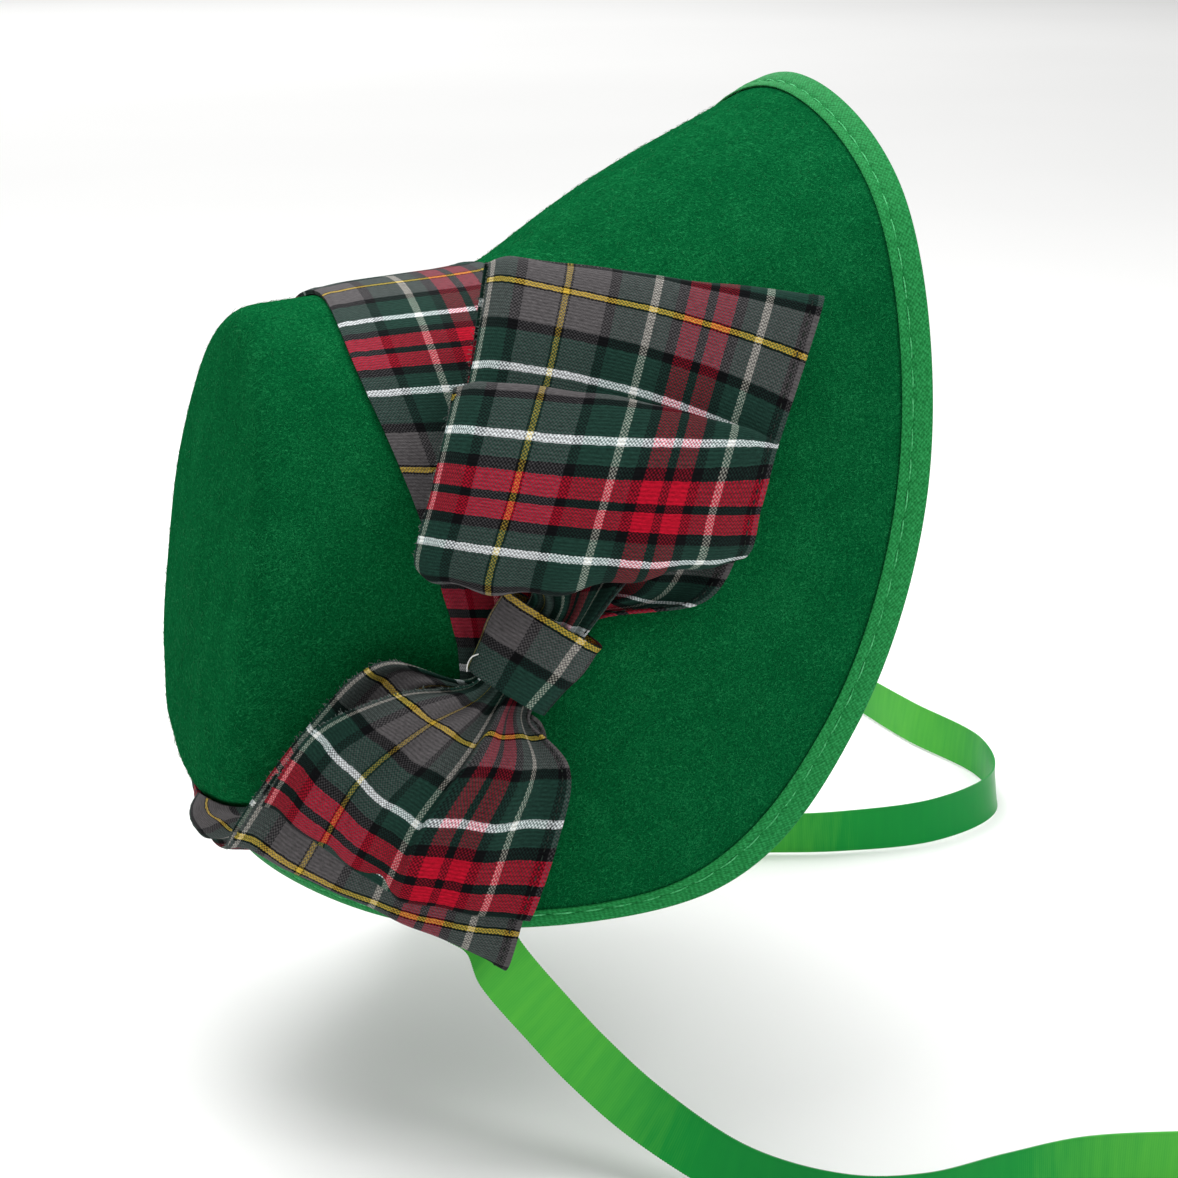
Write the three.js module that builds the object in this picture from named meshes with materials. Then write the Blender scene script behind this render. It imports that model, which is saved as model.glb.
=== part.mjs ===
// Moulded felt poke bonnet with a bound brim, a tartan band and bow on its right side, and two ribbon ties.
// Millimetres. +X is the way the wearer faces, +Y the wearer's left, +Z up.
// The origin is the head seat: the inner face of the crown's top, where it rests on the head.
// The tables below are set out from a datum on the crown's outer face; each piece then moves with the seat.

import * as THREE from 'three';

// Head seat in the tables' datum
const HEAD_SEAT = [0, 0, -2.4];

// Cloth thicknesses and gaps
const FELT_THICKNESS = 2.0;
const BINDING_THICKNESS = 0.8;
const TARTAN_THICKNESS = 1.2;
const RIBBON_THICKNESS = 1.0;
const PIECE_GAP = 0.4;

// Fineness of the faceted walls
const RING_STEPS = 56;
const STRIP_STEPS = 3;
const STRIP_COLUMNS = 9;
const BAND_COLUMNS = 5;
const TIE_STEPS = 3;
const KNOT_STEPS = 24;

// Crown tip: a leaning oval, slightly domed
const TIP = { x: -79.5, z: -87.5, halfHeight: 81.5, halfWidth: 72, lean: 13.5, dome: 5 };

// Stations from the top of the head down one side to the nape; the other side mirrors them.
// Tip angle is measured round the tip's oval. Junction is where crown turns into brim, rim is the brim's edge.
// Bulge lifts the middle of the brim outwards.
const STATIONS = [
  { name: 'top', tipAngle: 0, junction: [27, 0, 0.5], rim: [139, 0, 65], bulge: 4 },
  { name: 'temple', tipAngle: 38, junction: [20, 62, -19], rim: [140, 82, 33], bulge: 7 },
  { name: 'side', tipAngle: 75, junction: [-2, 90, -74], rim: [136, 114, -52], bulge: 9 },
  { name: 'jaw', tipAngle: 108, junction: [-25, 92, -119], rim: [113, 113, -138], bulge: 9 },
  { name: 'cheek', tipAngle: 135, junction: [-50, 80, -152], rim: [64, 108, -192], bulge: 10 },
  { name: 'heel', tipAngle: 160, junction: [-72, 48, -171], rim: [-28, 88, -198], bulge: 5 },
  { name: 'nape', tipAngle: 180, junction: [-84, 0, -177], rim: [-73, 0, -196], bulge: 0 },
];

// Rounding of the profile at the tip's edge, at the junction and over the brim
const TIP_ROUNDING = { trim: 18, steps: 3 };
const JUNCTION_ROUNDING = { trim: 20, steps: 4 };
const BRIM_ROUNDING = { trim: 200, steps: 4 };
const LONGEST_TRIM = 0.48;

// Bias binding folded over the rim, and the straight hem of felt that it covers
const BINDING_WIDTH = 12;
const BINDING_GAP = 0.65;
const HEM_WIDTH = 13;
const BRIM_MIDDLE = 0.5;

// Tartan band round the crown: its back and front edges in millimetres from the junction, and how far it stands off
const BAND = [
  { station: 'top', back: -64, front: -3, lift: 2.0 },
  { station: 'temple', back: -58, front: 0, lift: 1.0 },
  { station: 'side', back: -23, front: 20, lift: 0.2 },
  { station: 'jaw', back: -4, front: 27, lift: 0.2 },
  { station: 'cheek', back: -8, front: 20, lift: 0.5 },
  { station: 'heel', back: -22, front: 13, lift: 3 },
  { station: 'nape', back: -8, front: 6, lift: 2 },
];

// Bow knot: a tartan sleeve round the gathered middle of the bow
const KNOT = {
  center: [0.6, -108.8, -99.7],
  across: [0.788, -0.282, -0.548],
  along: [0.552, -0.074, 0.832],
  halfWidth: 17,
  halfDepth: 7.2,
  halfLength: 14,
  squareness: 3,
};
const NECK_HALF_WIDTH = 12.5;
const NECK_LAYER = 2.9;
const NECK_START = 1.5;
const NECK_PAST = 2.5;

// Each bow loop is one strip that leaves the knot, goes out, folds over and comes back.
// A row is one fold or section of it: its rear and fore edges, and the middle's bulge outwards and sag along the bow.
const UPPER_LOOP = [
  { fold: 'back low', rear: [-28, -93, -77], fore: [53, -116, -80], bulge: 0, sag: 4 },
  { fold: 'back middle', rear: [-15, -83, -44], fore: [77, -114, -47], bulge: 5, sag: 0 },
  { fold: 'top, rear face', rear: [4, -58, 17], fore: [101, -103, 5], bulge: 3, sag: 1 },
  { fold: 'top, fore face', rear: [3, -63, 18.5], fore: [100, -108, 7], bulge: 4, sag: 1 },
  { fold: 'above the tuck', rear: [-12, -86, -17], fore: [81, -117, -37], bulge: 5, sag: 0 },
  { fold: 'under the tuck', rear: [-25, -96, -44], fore: [73, -119, -58], bulge: 7, sag: 0 },
  { fold: 'tuck edge', rear: [-18, -94, -14], fore: [79, -121, -35], bulge: 8, sag: 0 },
  { fold: 'front face', rear: [-31, -109, -42], fore: [72, -125, -55], bulge: 13, sag: 0 },
  { fold: 'bottom roll', rear: [-38, -114, -67], fore: [68, -123, -71], bulge: 13, sag: -2 },
  { fold: 'under the roll', rear: [-20, -108, -70], fore: [42, -114, -70], bulge: 0, sag: -3 },
];
const LOWER_LOOP = [
  { fold: 'back shoulder', rear: [-45, -98, -101], fore: [7, -106, -130], bulge: 1, sag: 4 },
  { fold: 'back middle', rear: [-67, -85, -125], fore: [6, -109, -160], bulge: 1, sag: 12 },
  { fold: 'end, inner face', rear: [-91, -69, -166], fore: [-11, -113, -205], bulge: 0, sag: 3 },
  { fold: 'end, outer face', rear: [-91, -74, -165], fore: [-11, -118, -204], bulge: 1, sag: 3 },
  { fold: 'under the tuck', rear: [-77, -88, -137], fore: [-3, -120, -176], bulge: 5, sag: 10 },
  { fold: 'tuck edge', rear: [-82, -89, -146], fore: [-5, -123, -185], bulge: 5, sag: 10 },
  { fold: 'front middle', rear: [-68, -100, -120], fore: [5, -122, -158], bulge: 6, sag: 15 },
  { fold: 'front shoulder', rear: [-45, -111, -107], fore: [9, -120, -136], bulge: 4, sag: 8 },
];

// Satin ribbon ties: sewn inside the brim between cheek and heel at these distances from the rim and this depth
// under the felt's middle, then a free route with the ribbon's width direction
const RIBBON_WIDTH = 20;
const TIE_STATION = 4.88;
const TIE_SEWN = [16, 3, -5];
const TIE_DEPTH = 5.0;
const RIGHT_TIE = [
  { x: -7, y: -99, z: -213, across: [0.74, 0, 0.67] },
  { x: 6, y: -106, z: -231, across: [0.72, 0, 0.69] },
  { x: 18, y: -113, z: -246, across: [0.7, 0.05, 0.71] },
  { x: 36, y: -125, z: -264, across: [0.6, 0.1, 0.79] },
  { x: 61, y: -150, z: -278, across: [0.22, 0.1, 0.96] },
  { x: 87, y: -175, z: -279.5, across: [0.02, 0.08, 1] },
  { x: 112, y: -183, z: -279.5, across: [0, 0.06, 1] },
  { x: 142, y: -181, z: -279.5, across: [0, 0.05, 1] },
  { x: 172, y: -180, z: -279.5, across: [0, 0.05, 1] },
  { x: 204, y: -187, z: -279.5, across: [0, 0.05, 1] },
  { x: 222, y: -193, z: -279.5, across: [0, 0.05, 1] },
];
const LEFT_TIE = [
  { x: -7, y: 99, z: -213, across: [0.74, 0, 0.67] },
  { x: 8, y: 106, z: -234, across: [0.72, 0, 0.69] },
  { x: 36, y: 116, z: -264, across: [0.55, 0, 0.83] },
  { x: 76, y: 123, z: -279, across: [0.12, 0, 0.99] },
  { x: 126, y: 121, z: -279.5, across: [0, 0, 1] },
  { x: 174, y: 108, z: -279.5, across: [0, 0, 1] },
  { x: 215, y: 96, z: -279.5, across: [0, 0, 1] },
  { x: 262, y: 93, z: -279.5, across: [0, 0, 1] },
  { x: 303, y: 112, z: -279.5, across: [0, 0, 1] },
  { x: 318, y: 152, z: -279.5, across: [0, 0, 1] },
  { x: 309, y: 206, z: -279.5, across: [0, 0, 1] },
  { x: 304, y: 250, z: -279.5, across: [0, 0, 1] },
  { x: 300, y: 280, z: -279.5, across: [0, 0, 1] },
];

const vector = (row) => new THREE.Vector3(row[0], row[1], row[2]);
const LAST_STATION = STATIONS.length - 1;
const ROUND_STATIONS = 2 * LAST_STATION;

// Closed smooth ring through a point at each station on the right side (-Y), mirrored for the left
function mirroredRing(pointAtStation) {
  const points = [];
  for (let k = 0; k < ROUND_STATIONS; k += 1) {
    const right = k <= LAST_STATION;
    const point = pointAtStation(STATIONS[right ? k : ROUND_STATIONS - k]);
    point.y *= right ? -1 : 1;
    points.push(point);
  }
  return new THREE.CatmullRomCurve3(points, true, 'catmullrom', 0.5);
}

// Polyline through the corners with each inner corner rounded to a quadratic arc
function roundedProfile(corners, roundings) {
  const points = [corners[0]];
  roundings.forEach((rounding, k) => {
    const before = corners[k];
    const corner = corners[k + 1];
    const after = corners[k + 2];
    const trimBefore = Math.min(rounding.trim, LONGEST_TRIM * corner.distanceTo(before));
    const trimAfter = Math.min(rounding.trim, LONGEST_TRIM * corner.distanceTo(after));
    const start = corner.clone().lerp(before, trimBefore / corner.distanceTo(before));
    const end = corner.clone().lerp(after, trimAfter / corner.distanceTo(after));
    const arc = new THREE.QuadraticBezierCurve3(start, corner, end);
    points.push(...arc.getPoints(rounding.steps));
  });
  points.push(corners[corners.length - 1]);
  return points;
}

// Middle surface of the felt: one profile from the tip's centre to the rim at each step round the head
function feltProfiles(stationValues) {
  const tipRing = mirroredRing((row) => {
    const angle = THREE.MathUtils.degToRad(row.tipAngle);
    const up = Math.cos(angle);
    return new THREE.Vector3(TIP.x + TIP.lean * up, TIP.halfWidth * Math.sin(angle), TIP.z + TIP.halfHeight * up);
  });
  const junctionRing = mirroredRing((row) => vector(row.junction));
  const rimRing = mirroredRing((row) => vector(row.rim));
  const bulgeRing = mirroredRing((row) => new THREE.Vector3(row.bulge, 0, 0));
  const pole = new THREE.Vector3(TIP.x - TIP.dome, 0, TIP.z);
  return stationValues.map((station) => {
    const t = (station / ROUND_STATIONS) % 1;
    const junction = junctionRing.getPoint(t);
    const rim = rimRing.getPoint(t);
    const brimRun = rim.clone().sub(junction);
    const middle = Math.min(BRIM_MIDDLE, 1 - (HEM_WIDTH + 1) / brimRun.length());
    const round = rimRing.getTangent(t).add(junctionRing.getTangent(t));
    const outward = round.cross(brimRun).normalize();
    const brim = junction.clone().lerp(rim, middle).addScaledVector(outward, bulgeRing.getPoint(t).x);
    const hem = rim.clone().lerp(brim, HEM_WIDTH / rim.distanceTo(brim));
    const corners = [pole, tipRing.getPoint(t), junction, brim, hem];
    return [...roundedProfile(corners, [TIP_ROUNDING, JUNCTION_ROUNDING, BRIM_ROUNDING]), rim];
  });
}

// Outward normals of a grid of points, from its neighbours; closed grids wrap in the first index
function gridNormals(grid, closed) {
  const rows = grid.length;
  const columns = grid[0].length;
  return grid.map((row, i) => row.map((point, j) => {
    const before = grid[closed ? (i + rows - 1) % rows : Math.max(i - 1, 0)][j];
    const after = grid[closed ? (i + 1) % rows : Math.min(i + 1, rows - 1)][j];
    const inner = row[Math.max(j - 1, 0)];
    const outer = row[Math.min(j + 1, columns - 1)];
    const round = after.clone().sub(before);
    return round.cross(outer.clone().sub(inner)).normalize();
  }));
}

function offsetGrid(grid, normals, distance) {
  return grid.map((row, i) => row.map((point, j) => point.clone().addScaledVector(normals[i][j], distance)));
}

// Two triangles of a four-cornered face, split along its shorter diagonal
function splitFace(points, a, b, c, d) {
  if (points[a].distanceTo(points[c]) <= points[b].distanceTo(points[d])) {
    return [[a, b, c], [a, c, d]];
  }
  return [[a, b, d], [b, c, d]];
}

// Closed body from listed corner points; its faces are turned outwards if they point in
function bodyFromTriangles(points, triangles) {
  let volume = 0;
  triangles.forEach(([a, b, c]) => {
    volume += points[a].dot(points[b].clone().cross(points[c]));
  });
  const index = triangles.flatMap(([a, b, c]) => (volume > 0 ? [a, b, c] : [a, c, b]));
  const geometry = new THREE.BufferGeometry().setFromPoints(points);
  geometry.setIndex(index);
  geometry.computeVertexNormals();
  return geometry;
}

// Thin sheet between an upper and a lower grid, with walls along its free edges.
// A closed sheet wraps in its first index; a sheet with a pole meets in one point at its first column.
function sheetBody(upper, lower, { closed = false, pole = false } = {}) {
  const rows = upper.length;
  const columns = upper[0].length;
  const points = [...upper.flat(), ...lower.flat()];
  const shift = rows * columns;
  const id = (i, j) => (pole && j === 0 ? 0 : (i % rows) * columns + j);
  const triangles = [];
  const quad = (a, b, c, d) => {
    triangles.push(...splitFace(points, a, b, c, d));
  };
  const steps = closed ? rows : rows - 1;
  for (let i = 0; i < steps; i += 1) {
    for (let j = 0; j < columns - 1; j += 1) {
      const a = id(i, j);
      const b = id(i + 1, j);
      const c = id(i + 1, j + 1);
      const d = id(i, j + 1);
      if (a === b) {
        triangles.push([a, c, d], [shift + a, shift + d, shift + c]);
      } else {
        quad(a, b, c, d);
        quad(shift + a, shift + d, shift + c, shift + b);
      }
    }
    if (!pole) {
      quad(id(i, 0), shift + id(i, 0), shift + id(i + 1, 0), id(i + 1, 0));
    }
    const edge = columns - 1;
    quad(id(i, edge), id(i + 1, edge), shift + id(i + 1, edge), shift + id(i, edge));
  }
  if (!closed) {
    for (let j = 0; j < columns - 1; j += 1) {
      quad(id(0, j), id(0, j + 1), shift + id(0, j + 1), shift + id(0, j));
      quad(id(rows - 1, j), shift + id(rows - 1, j), shift + id(rows - 1, j + 1), id(rows - 1, j + 1));
    }
  }
  return bodyFromTriangles(points, triangles);
}

// Open strip of even thickness about a grid of points
function stripBody(grid, thickness) {
  const normals = gridNormals(grid, false);
  return sheetBody(offsetGrid(grid, normals, thickness / 2), offsetGrid(grid, normals, -thickness / 2));
}

// Ring of equal closed sections, such as a folded tape or a sleeve
function sweptRing(sections) {
  const rows = sections.length;
  const columns = sections[0].length;
  const points = sections.flat();
  const triangles = [];
  for (let i = 0; i < rows; i += 1) {
    for (let j = 0; j < columns; j += 1) {
      const a = i * columns + j;
      const b = ((i + 1) % rows) * columns + j;
      const c = ((i + 1) % rows) * columns + ((j + 1) % columns);
      const d = i * columns + ((j + 1) % columns);
      triangles.push(...splitFace(points, a, b, c, d));
    }
  }
  return bodyFromTriangles(points, triangles);
}

const ringStations = Array.from({ length: RING_STEPS }, (_, i) => (i * ROUND_STATIONS) / RING_STEPS);
const feltGrid = feltProfiles(ringStations);
const feltNormals = gridNormals(feltGrid, true);
const tipNormal = new THREE.Vector3(-1, 0, TIP.lean / TIP.halfHeight).normalize();
feltNormals.forEach((row) => row[0].copy(tipNormal));

function feltShell() {
  const outer = offsetGrid(feltGrid, feltNormals, FELT_THICKNESS / 2);
  const inner = offsetGrid(feltGrid, feltNormals, -FELT_THICKNESS / 2);
  return sheetBody(outer, inner, { closed: true, pole: true });
}

// Point and normal of the felt's middle surface at a distance along one profile
function alongProfile(profile, normals, distance) {
  let left = distance;
  let k = 0;
  while (k < profile.length - 2 && left > profile[k].distanceTo(profile[k + 1])) {
    left -= profile[k].distanceTo(profile[k + 1]);
    k += 1;
  }
  const share = left / profile[k].distanceTo(profile[k + 1]);
  return {
    point: profile[k].clone().lerp(profile[k + 1], share),
    normal: normals[k].clone().lerp(normals[k + 1], share).normalize(),
  };
}

function lengthTo(profile, last) {
  let length = 0;
  for (let k = 0; k < last; k += 1) {
    length += profile[k].distanceTo(profile[k + 1]);
  }
  return length;
}

// U-shaped tape over the rim, clear of the felt by the gap
function brimBinding() {
  const inside = FELT_THICKNESS / 2 + BINDING_GAP;
  const outside = inside + BINDING_THICKNESS;
  const lip = BINDING_GAP + BINDING_THICKNESS;
  const sections = feltGrid.map((profile, i) => {
    const normals = feltNormals[i];
    const rim = profile.at(-1);
    const rimNormal = normals.at(-1);
    const length = lengthTo(profile, profile.length - 1);
    const back = alongProfile(profile, normals, length - BINDING_WIDTH);
    const rimBefore = feltGrid[(i + RING_STEPS - 1) % RING_STEPS].at(-1);
    const rimAfter = feltGrid[(i + 1) % RING_STEPS].at(-1);
    const edgeOut = rimNormal.clone().cross(rimAfter.clone().sub(rimBefore)).normalize();
    const atBack = (height) => back.point.clone().addScaledVector(back.normal, height);
    const atRim = (ahead, height) => rim.clone().addScaledVector(edgeOut, ahead).addScaledVector(rimNormal, height);
    return [
      atBack(outside), atRim(lip / 2, outside), atRim(lip, inside),
      atRim(lip, -inside), atRim(lip / 2, -outside), atBack(-outside),
      atBack(-inside), atRim(BINDING_GAP, -inside), atRim(BINDING_GAP, inside), atBack(inside),
    ];
  });
  return sweptRing(sections);
}

// Smooth reading of a band column between the stations
function bandReading(column) {
  const curve = mirroredRing((row) => {
    const entry = BAND.find((line) => line.station === row.name);
    return new THREE.Vector3(entry[column], 0, 0);
  });
  return (station) => curve.getPoint((station / ROUND_STATIONS) % 1).x;
}

function hatBand() {
  const back = bandReading('back');
  const front = bandReading('front');
  const lift = bandReading('lift');
  const junctionIndex = 1 + TIP_ROUNDING.steps + 1 + JUNCTION_ROUNDING.steps / 2;
  const innerFace = FELT_THICKNESS / 2 + PIECE_GAP;
  const layer = (height) => feltGrid.map((profile, i) => {
    const station = ringStations[i];
    const junction = lengthTo(profile, junctionIndex);
    return Array.from({ length: BAND_COLUMNS }, (_, j) => {
      const share = j / (BAND_COLUMNS - 1);
      const distance = junction + THREE.MathUtils.lerp(back(station), front(station), share);
      const { point, normal } = alongProfile(profile, feltNormals[i], distance);
      return point.addScaledVector(normal, innerFace + lift(station) + height);
    });
  });
  return sheetBody(layer(TARTAN_THICKNESS), layer(0), { closed: true });
}

const knotCenter = vector(KNOT.center);
const knotAcross = vector(KNOT.across).normalize();
const knotAlong = vector(KNOT.along).normalize();
const knotOut = new THREE.Vector3().crossVectors(knotAcross, knotAlong).normalize();

const knotPoint = (across, along, out) => knotCenter.clone()
  .addScaledVector(knotAcross, across)
  .addScaledVector(knotAlong, along)
  .addScaledVector(knotOut, out);

// Oval sleeve with straight ends, wound round the bow's necks
function bowKnot() {
  const ring = (halfWidth, halfDepth, along) => Array.from({ length: KNOT_STEPS }, (_, k) => {
    const angle = (2 * Math.PI * k) / KNOT_STEPS;
    const power = 2 / KNOT.squareness;
    const across = Math.sign(Math.cos(angle)) * halfWidth * Math.abs(Math.cos(angle)) ** power;
    const out = Math.sign(Math.sin(angle)) * halfDepth * Math.abs(Math.sin(angle)) ** power;
    return knotPoint(across, along, out);
  });
  const innerWidth = KNOT.halfWidth - TARTAN_THICKNESS;
  const innerDepth = KNOT.halfDepth - TARTAN_THICKNESS;
  const rings = [
    ring(KNOT.halfWidth - 1, KNOT.halfDepth, -KNOT.halfLength),
    ring(KNOT.halfWidth, KNOT.halfDepth, 0),
    ring(KNOT.halfWidth - 1, KNOT.halfDepth, KNOT.halfLength),
    ring(innerWidth - 1, innerDepth, KNOT.halfLength),
    ring(innerWidth, innerDepth, 0),
    ring(innerWidth - 1, innerDepth, -KNOT.halfLength),
  ];
  const sections = Array.from({ length: KNOT_STEPS }, (_, k) => rings.map((points) => points[k]));
  return sweptRing(sections);
}

// Rows where the strip's two ends lie flat inside the knot; side is 1 for the upper loop and -1 for the lower
function neckRows(side, out) {
  return [NECK_START, KNOT.halfLength + NECK_PAST].map((along) => ({
    rear: knotPoint(-NECK_HALF_WIDTH, side * along, out).toArray(),
    fore: knotPoint(NECK_HALF_WIDTH, side * along, out).toArray(),
    bulge: 0,
    sag: 0,
  }));
}

function bowLoop(table, side) {
  const rows = [
    ...neckRows(side, -NECK_LAYER),
    ...table,
    ...neckRows(side, NECK_LAYER).reverse(),
  ];
  const rearEdge = new THREE.CatmullRomCurve3(rows.map((row) => vector(row.rear)), false, 'centripetal');
  const foreEdge = new THREE.CatmullRomCurve3(rows.map((row) => vector(row.fore)), false, 'centripetal');
  const shape = rows.map((row) => new THREE.Vector3(row.bulge, row.sag, 0));
  const middle = new THREE.CatmullRomCurve3(shape, false, 'catmullrom', 0.5);
  const steps = (rows.length - 1) * STRIP_STEPS;
  const grid = Array.from({ length: steps + 1 }, (_, i) => {
    const t = i / steps;
    const rear = rearEdge.getPoint(t);
    const fore = foreEdge.getPoint(t);
    const { x: bulge, y: sag } = middle.getPoint(t);
    return Array.from({ length: STRIP_COLUMNS }, (_, j) => {
      const share = j / (STRIP_COLUMNS - 1);
      const hump = 4 * share * (1 - share);
      return rear.clone().lerp(fore, share)
        .addScaledVector(knotOut, bulge * hump)
        .addScaledVector(knotAlong, side * sag * hump);
    });
  });
  return stripBody(grid, TARTAN_THICKNESS);
}

// Ribbon tie: rows sewn on the brim's inner face and running straight off its edge, then its free route
function ribbonTie(table, station) {
  const [before, profile, after] = feltProfiles([station - 0.1, station, station + 0.1]);
  const normals = gridNormals([before, profile, after], false)[1];
  const length = lengthTo(profile, profile.length - 1);
  const run = profile.at(-1).clone().sub(profile.at(-2)).normalize();
  const sewn = TIE_SEWN.map((fromRim) => {
    const { point, normal } = alongProfile(profile, normals, length - fromRim);
    point.addScaledVector(normal, -TIE_DEPTH);
    const across = run.clone().cross(normal).normalize();
    across.multiplyScalar(Math.sign(across.x));
    return { x: point.x, y: point.y, z: point.z, across: across.toArray() };
  });
  const rows = [...sewn, ...table];
  const route = new THREE.CatmullRomCurve3(
    rows.map((row) => new THREE.Vector3(row.x, row.y, row.z)), false, 'centripetal');
  const turn = new THREE.CatmullRomCurve3(rows.map((row) => vector(row.across)), false, 'catmullrom', 0.5);
  const steps = (rows.length - 1) * TIE_STEPS;
  const grid = Array.from({ length: steps + 1 }, (_, i) => {
    const middle = route.getPoint(i / steps);
    const across = turn.getPoint(i / steps).normalize();
    return [-1, 0, 1].map((side) => middle.clone().addScaledVector(across, (side * RIBBON_WIDTH) / 2));
  });
  return stripBody(grid, RIBBON_THICKNESS);
}

const MATERIALS = {
  felt: new THREE.MeshStandardMaterial({ color: '#0b5c2a', roughness: 0.95, metalness: 0 }),
  binding: new THREE.MeshStandardMaterial({ color: '#0f8a3a', roughness: 0.8, metalness: 0 }),
  tartan: new THREE.MeshStandardMaterial({ color: '#3f4a44', roughness: 0.9, metalness: 0 }),
  ribbon: new THREE.MeshStandardMaterial({ color: '#1fa83c', roughness: 0.4, metalness: 0 }),
};

const bonnet = new THREE.Group();

function addPiece(name, geometry, material) {
  geometry.translate(-HEAD_SEAT[0], -HEAD_SEAT[1], -HEAD_SEAT[2]);
  const mesh = new THREE.Mesh(geometry, material);
  mesh.name = name;
  bonnet.add(mesh);
}

addPiece('felt_shell', feltShell(), MATERIALS.felt);
addPiece('brim_binding', brimBinding(), MATERIALS.binding);
addPiece('hat_band', hatBand(), MATERIALS.tartan);
addPiece('bow_knot', bowKnot(), MATERIALS.tartan);
addPiece('bow_upper_loop', bowLoop(UPPER_LOOP, 1), MATERIALS.tartan);
addPiece('bow_lower_loop', bowLoop(LOWER_LOOP, -1), MATERIALS.tartan);
addPiece('tie_right', ribbonTie(RIGHT_TIE, TIE_STATION), MATERIALS.ribbon);
addPiece('tie_left', ribbonTie(LEFT_TIE, ROUND_STATIONS - TIE_STATION), MATERIALS.ribbon);

export default bonnet;
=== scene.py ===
"""Looks of a moulded felt poke bonnet with a bound brim, a tartan band and bow, and satin ribbon ties."""

import logging
import math
from dataclasses import dataclass
from enum import Enum
from typing import Callable, Sequence

import bmesh
import bpy
import numpy as np
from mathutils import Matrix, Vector


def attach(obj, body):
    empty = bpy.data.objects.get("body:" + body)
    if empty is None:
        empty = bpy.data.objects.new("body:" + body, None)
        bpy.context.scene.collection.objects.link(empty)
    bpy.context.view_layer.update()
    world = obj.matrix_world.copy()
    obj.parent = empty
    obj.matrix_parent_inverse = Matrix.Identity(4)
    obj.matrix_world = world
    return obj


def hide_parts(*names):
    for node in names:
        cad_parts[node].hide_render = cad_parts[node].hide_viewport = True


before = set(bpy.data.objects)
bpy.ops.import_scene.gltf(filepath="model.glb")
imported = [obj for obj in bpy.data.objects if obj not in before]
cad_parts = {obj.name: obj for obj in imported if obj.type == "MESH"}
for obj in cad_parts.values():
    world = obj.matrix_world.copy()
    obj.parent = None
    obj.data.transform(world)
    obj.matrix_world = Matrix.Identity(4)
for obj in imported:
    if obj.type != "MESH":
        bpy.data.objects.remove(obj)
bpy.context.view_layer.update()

Triple = tuple[float, float, float]

LOG = logging.getLogger("bonnet")
MM = 0.001
BODY = "root"
CLOTH_MAP = "cloth"
SHARP_EDGE = math.radians(55)
SAME_POINT = 1e-7
LEAST_LENGTH = 1e-9
LEAST_SPAN = 1e-6
SEED = 1837

# The tables below are in millimetres from a datum on the crown; the head seat in that datum is the origin.
HEAD_SEAT = np.array((0.0, 0.0, -2.4))


class From(Enum):
    """Where a distance along the felt is measured from."""

    TIP = "share of the whole way from the tip's centre to the rim"
    JUNCTION = "millimetres from the turn between crown and brim, towards the rim"
    RIM = "millimetres from the rim, inwards"


class Loop(Enum):
    """The two loops of the bow, with the way each leaves the knot."""

    UPPER = 1
    LOWER = -1


class Side(Enum):
    """The wearer's two sides, as the sign of Y."""

    RIGHT = -1
    LEFT = 1


class Held(Enum):
    """How a cloth piece is held."""

    GATHERED = "gathered"
    FOLDED = "folded"


@dataclass(frozen=True)
class Station:
    """One section of the felt and band, from the top down to the nape.

    Attributes:
        tip_angle: Place on the tip's edge, in degrees from its top.
        junction: Corner between crown and brim.
        rim: Edge of the brim.
        bulge: How far the brim's middle stands out.
        band_back: Band's back edge, from the junction.
        band_front: Band's front edge, from the junction.
        band_lift: How far the band's middle stands off the felt.
        band_pleat: Height of the band's pleats.
        binding: Width of the binding.
    """

    tip_angle: float
    junction: Triple
    rim: Triple
    bulge: float
    band_back: float
    band_front: float
    band_lift: float
    band_pleat: float
    binding: float


STATIONS = (
    Station(0, (27, 0, 0.5), (139, 0, 65), 4, -64, -3, 2.0, 0.0, 9.5),
    Station(38, (20, 62, -19), (140, 82, 33), 7, -58, 0, 1.0, 0.0, 9.5),
    Station(75, (-2, 90, -74), (136, 114, -52), 9, -23, 20, 0.2, 0.4, 10.5),
    Station(108, (-25, 92, -119), (113, 113, -138), 9, 5, 27, 0.2, 0.6, 11.5),
    Station(135, (-50, 80, -152), (64, 108, -192), 10, -8, 20, 0.5, 1.6, 14),
    Station(160, (-72, 48, -171), (-28, 88, -198), 5, -22, 13, 1.5, 1.5, 13),
    Station(180, (-84, 0, -177), (-73, 0, -196), 0, -5, 6, 1.5, 1.0, 12),
)
TURN = 2 * (len(STATIONS) - 1)


@dataclass(frozen=True)
class Fold:
    """One fold or section of a bow loop.

    Attributes:
        rear: End at the frayed selvedge.
        fore: End at the hem.
        bulge: How far the middle stands out from the hat.
        sag: How far it hangs along the bow, away from the knot.
        pleat: Height of the pleats.
        cloth_rear: Place along the flat cloth at the rear end.
        cloth_fore: The same at the fore end.
        cloth_dip: How much further along the cloth the sagging part lies.
        arch: How far the middle bows along the bow.
        cloth_arch: How much further along the cloth the middle lies.
    """

    rear: Triple
    fore: Triple
    bulge: float
    sag: float
    pleat: float
    cloth_rear: float
    cloth_fore: float
    cloth_dip: float = 0.0
    arch: float = 0.0
    cloth_arch: float = 0.0


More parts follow.
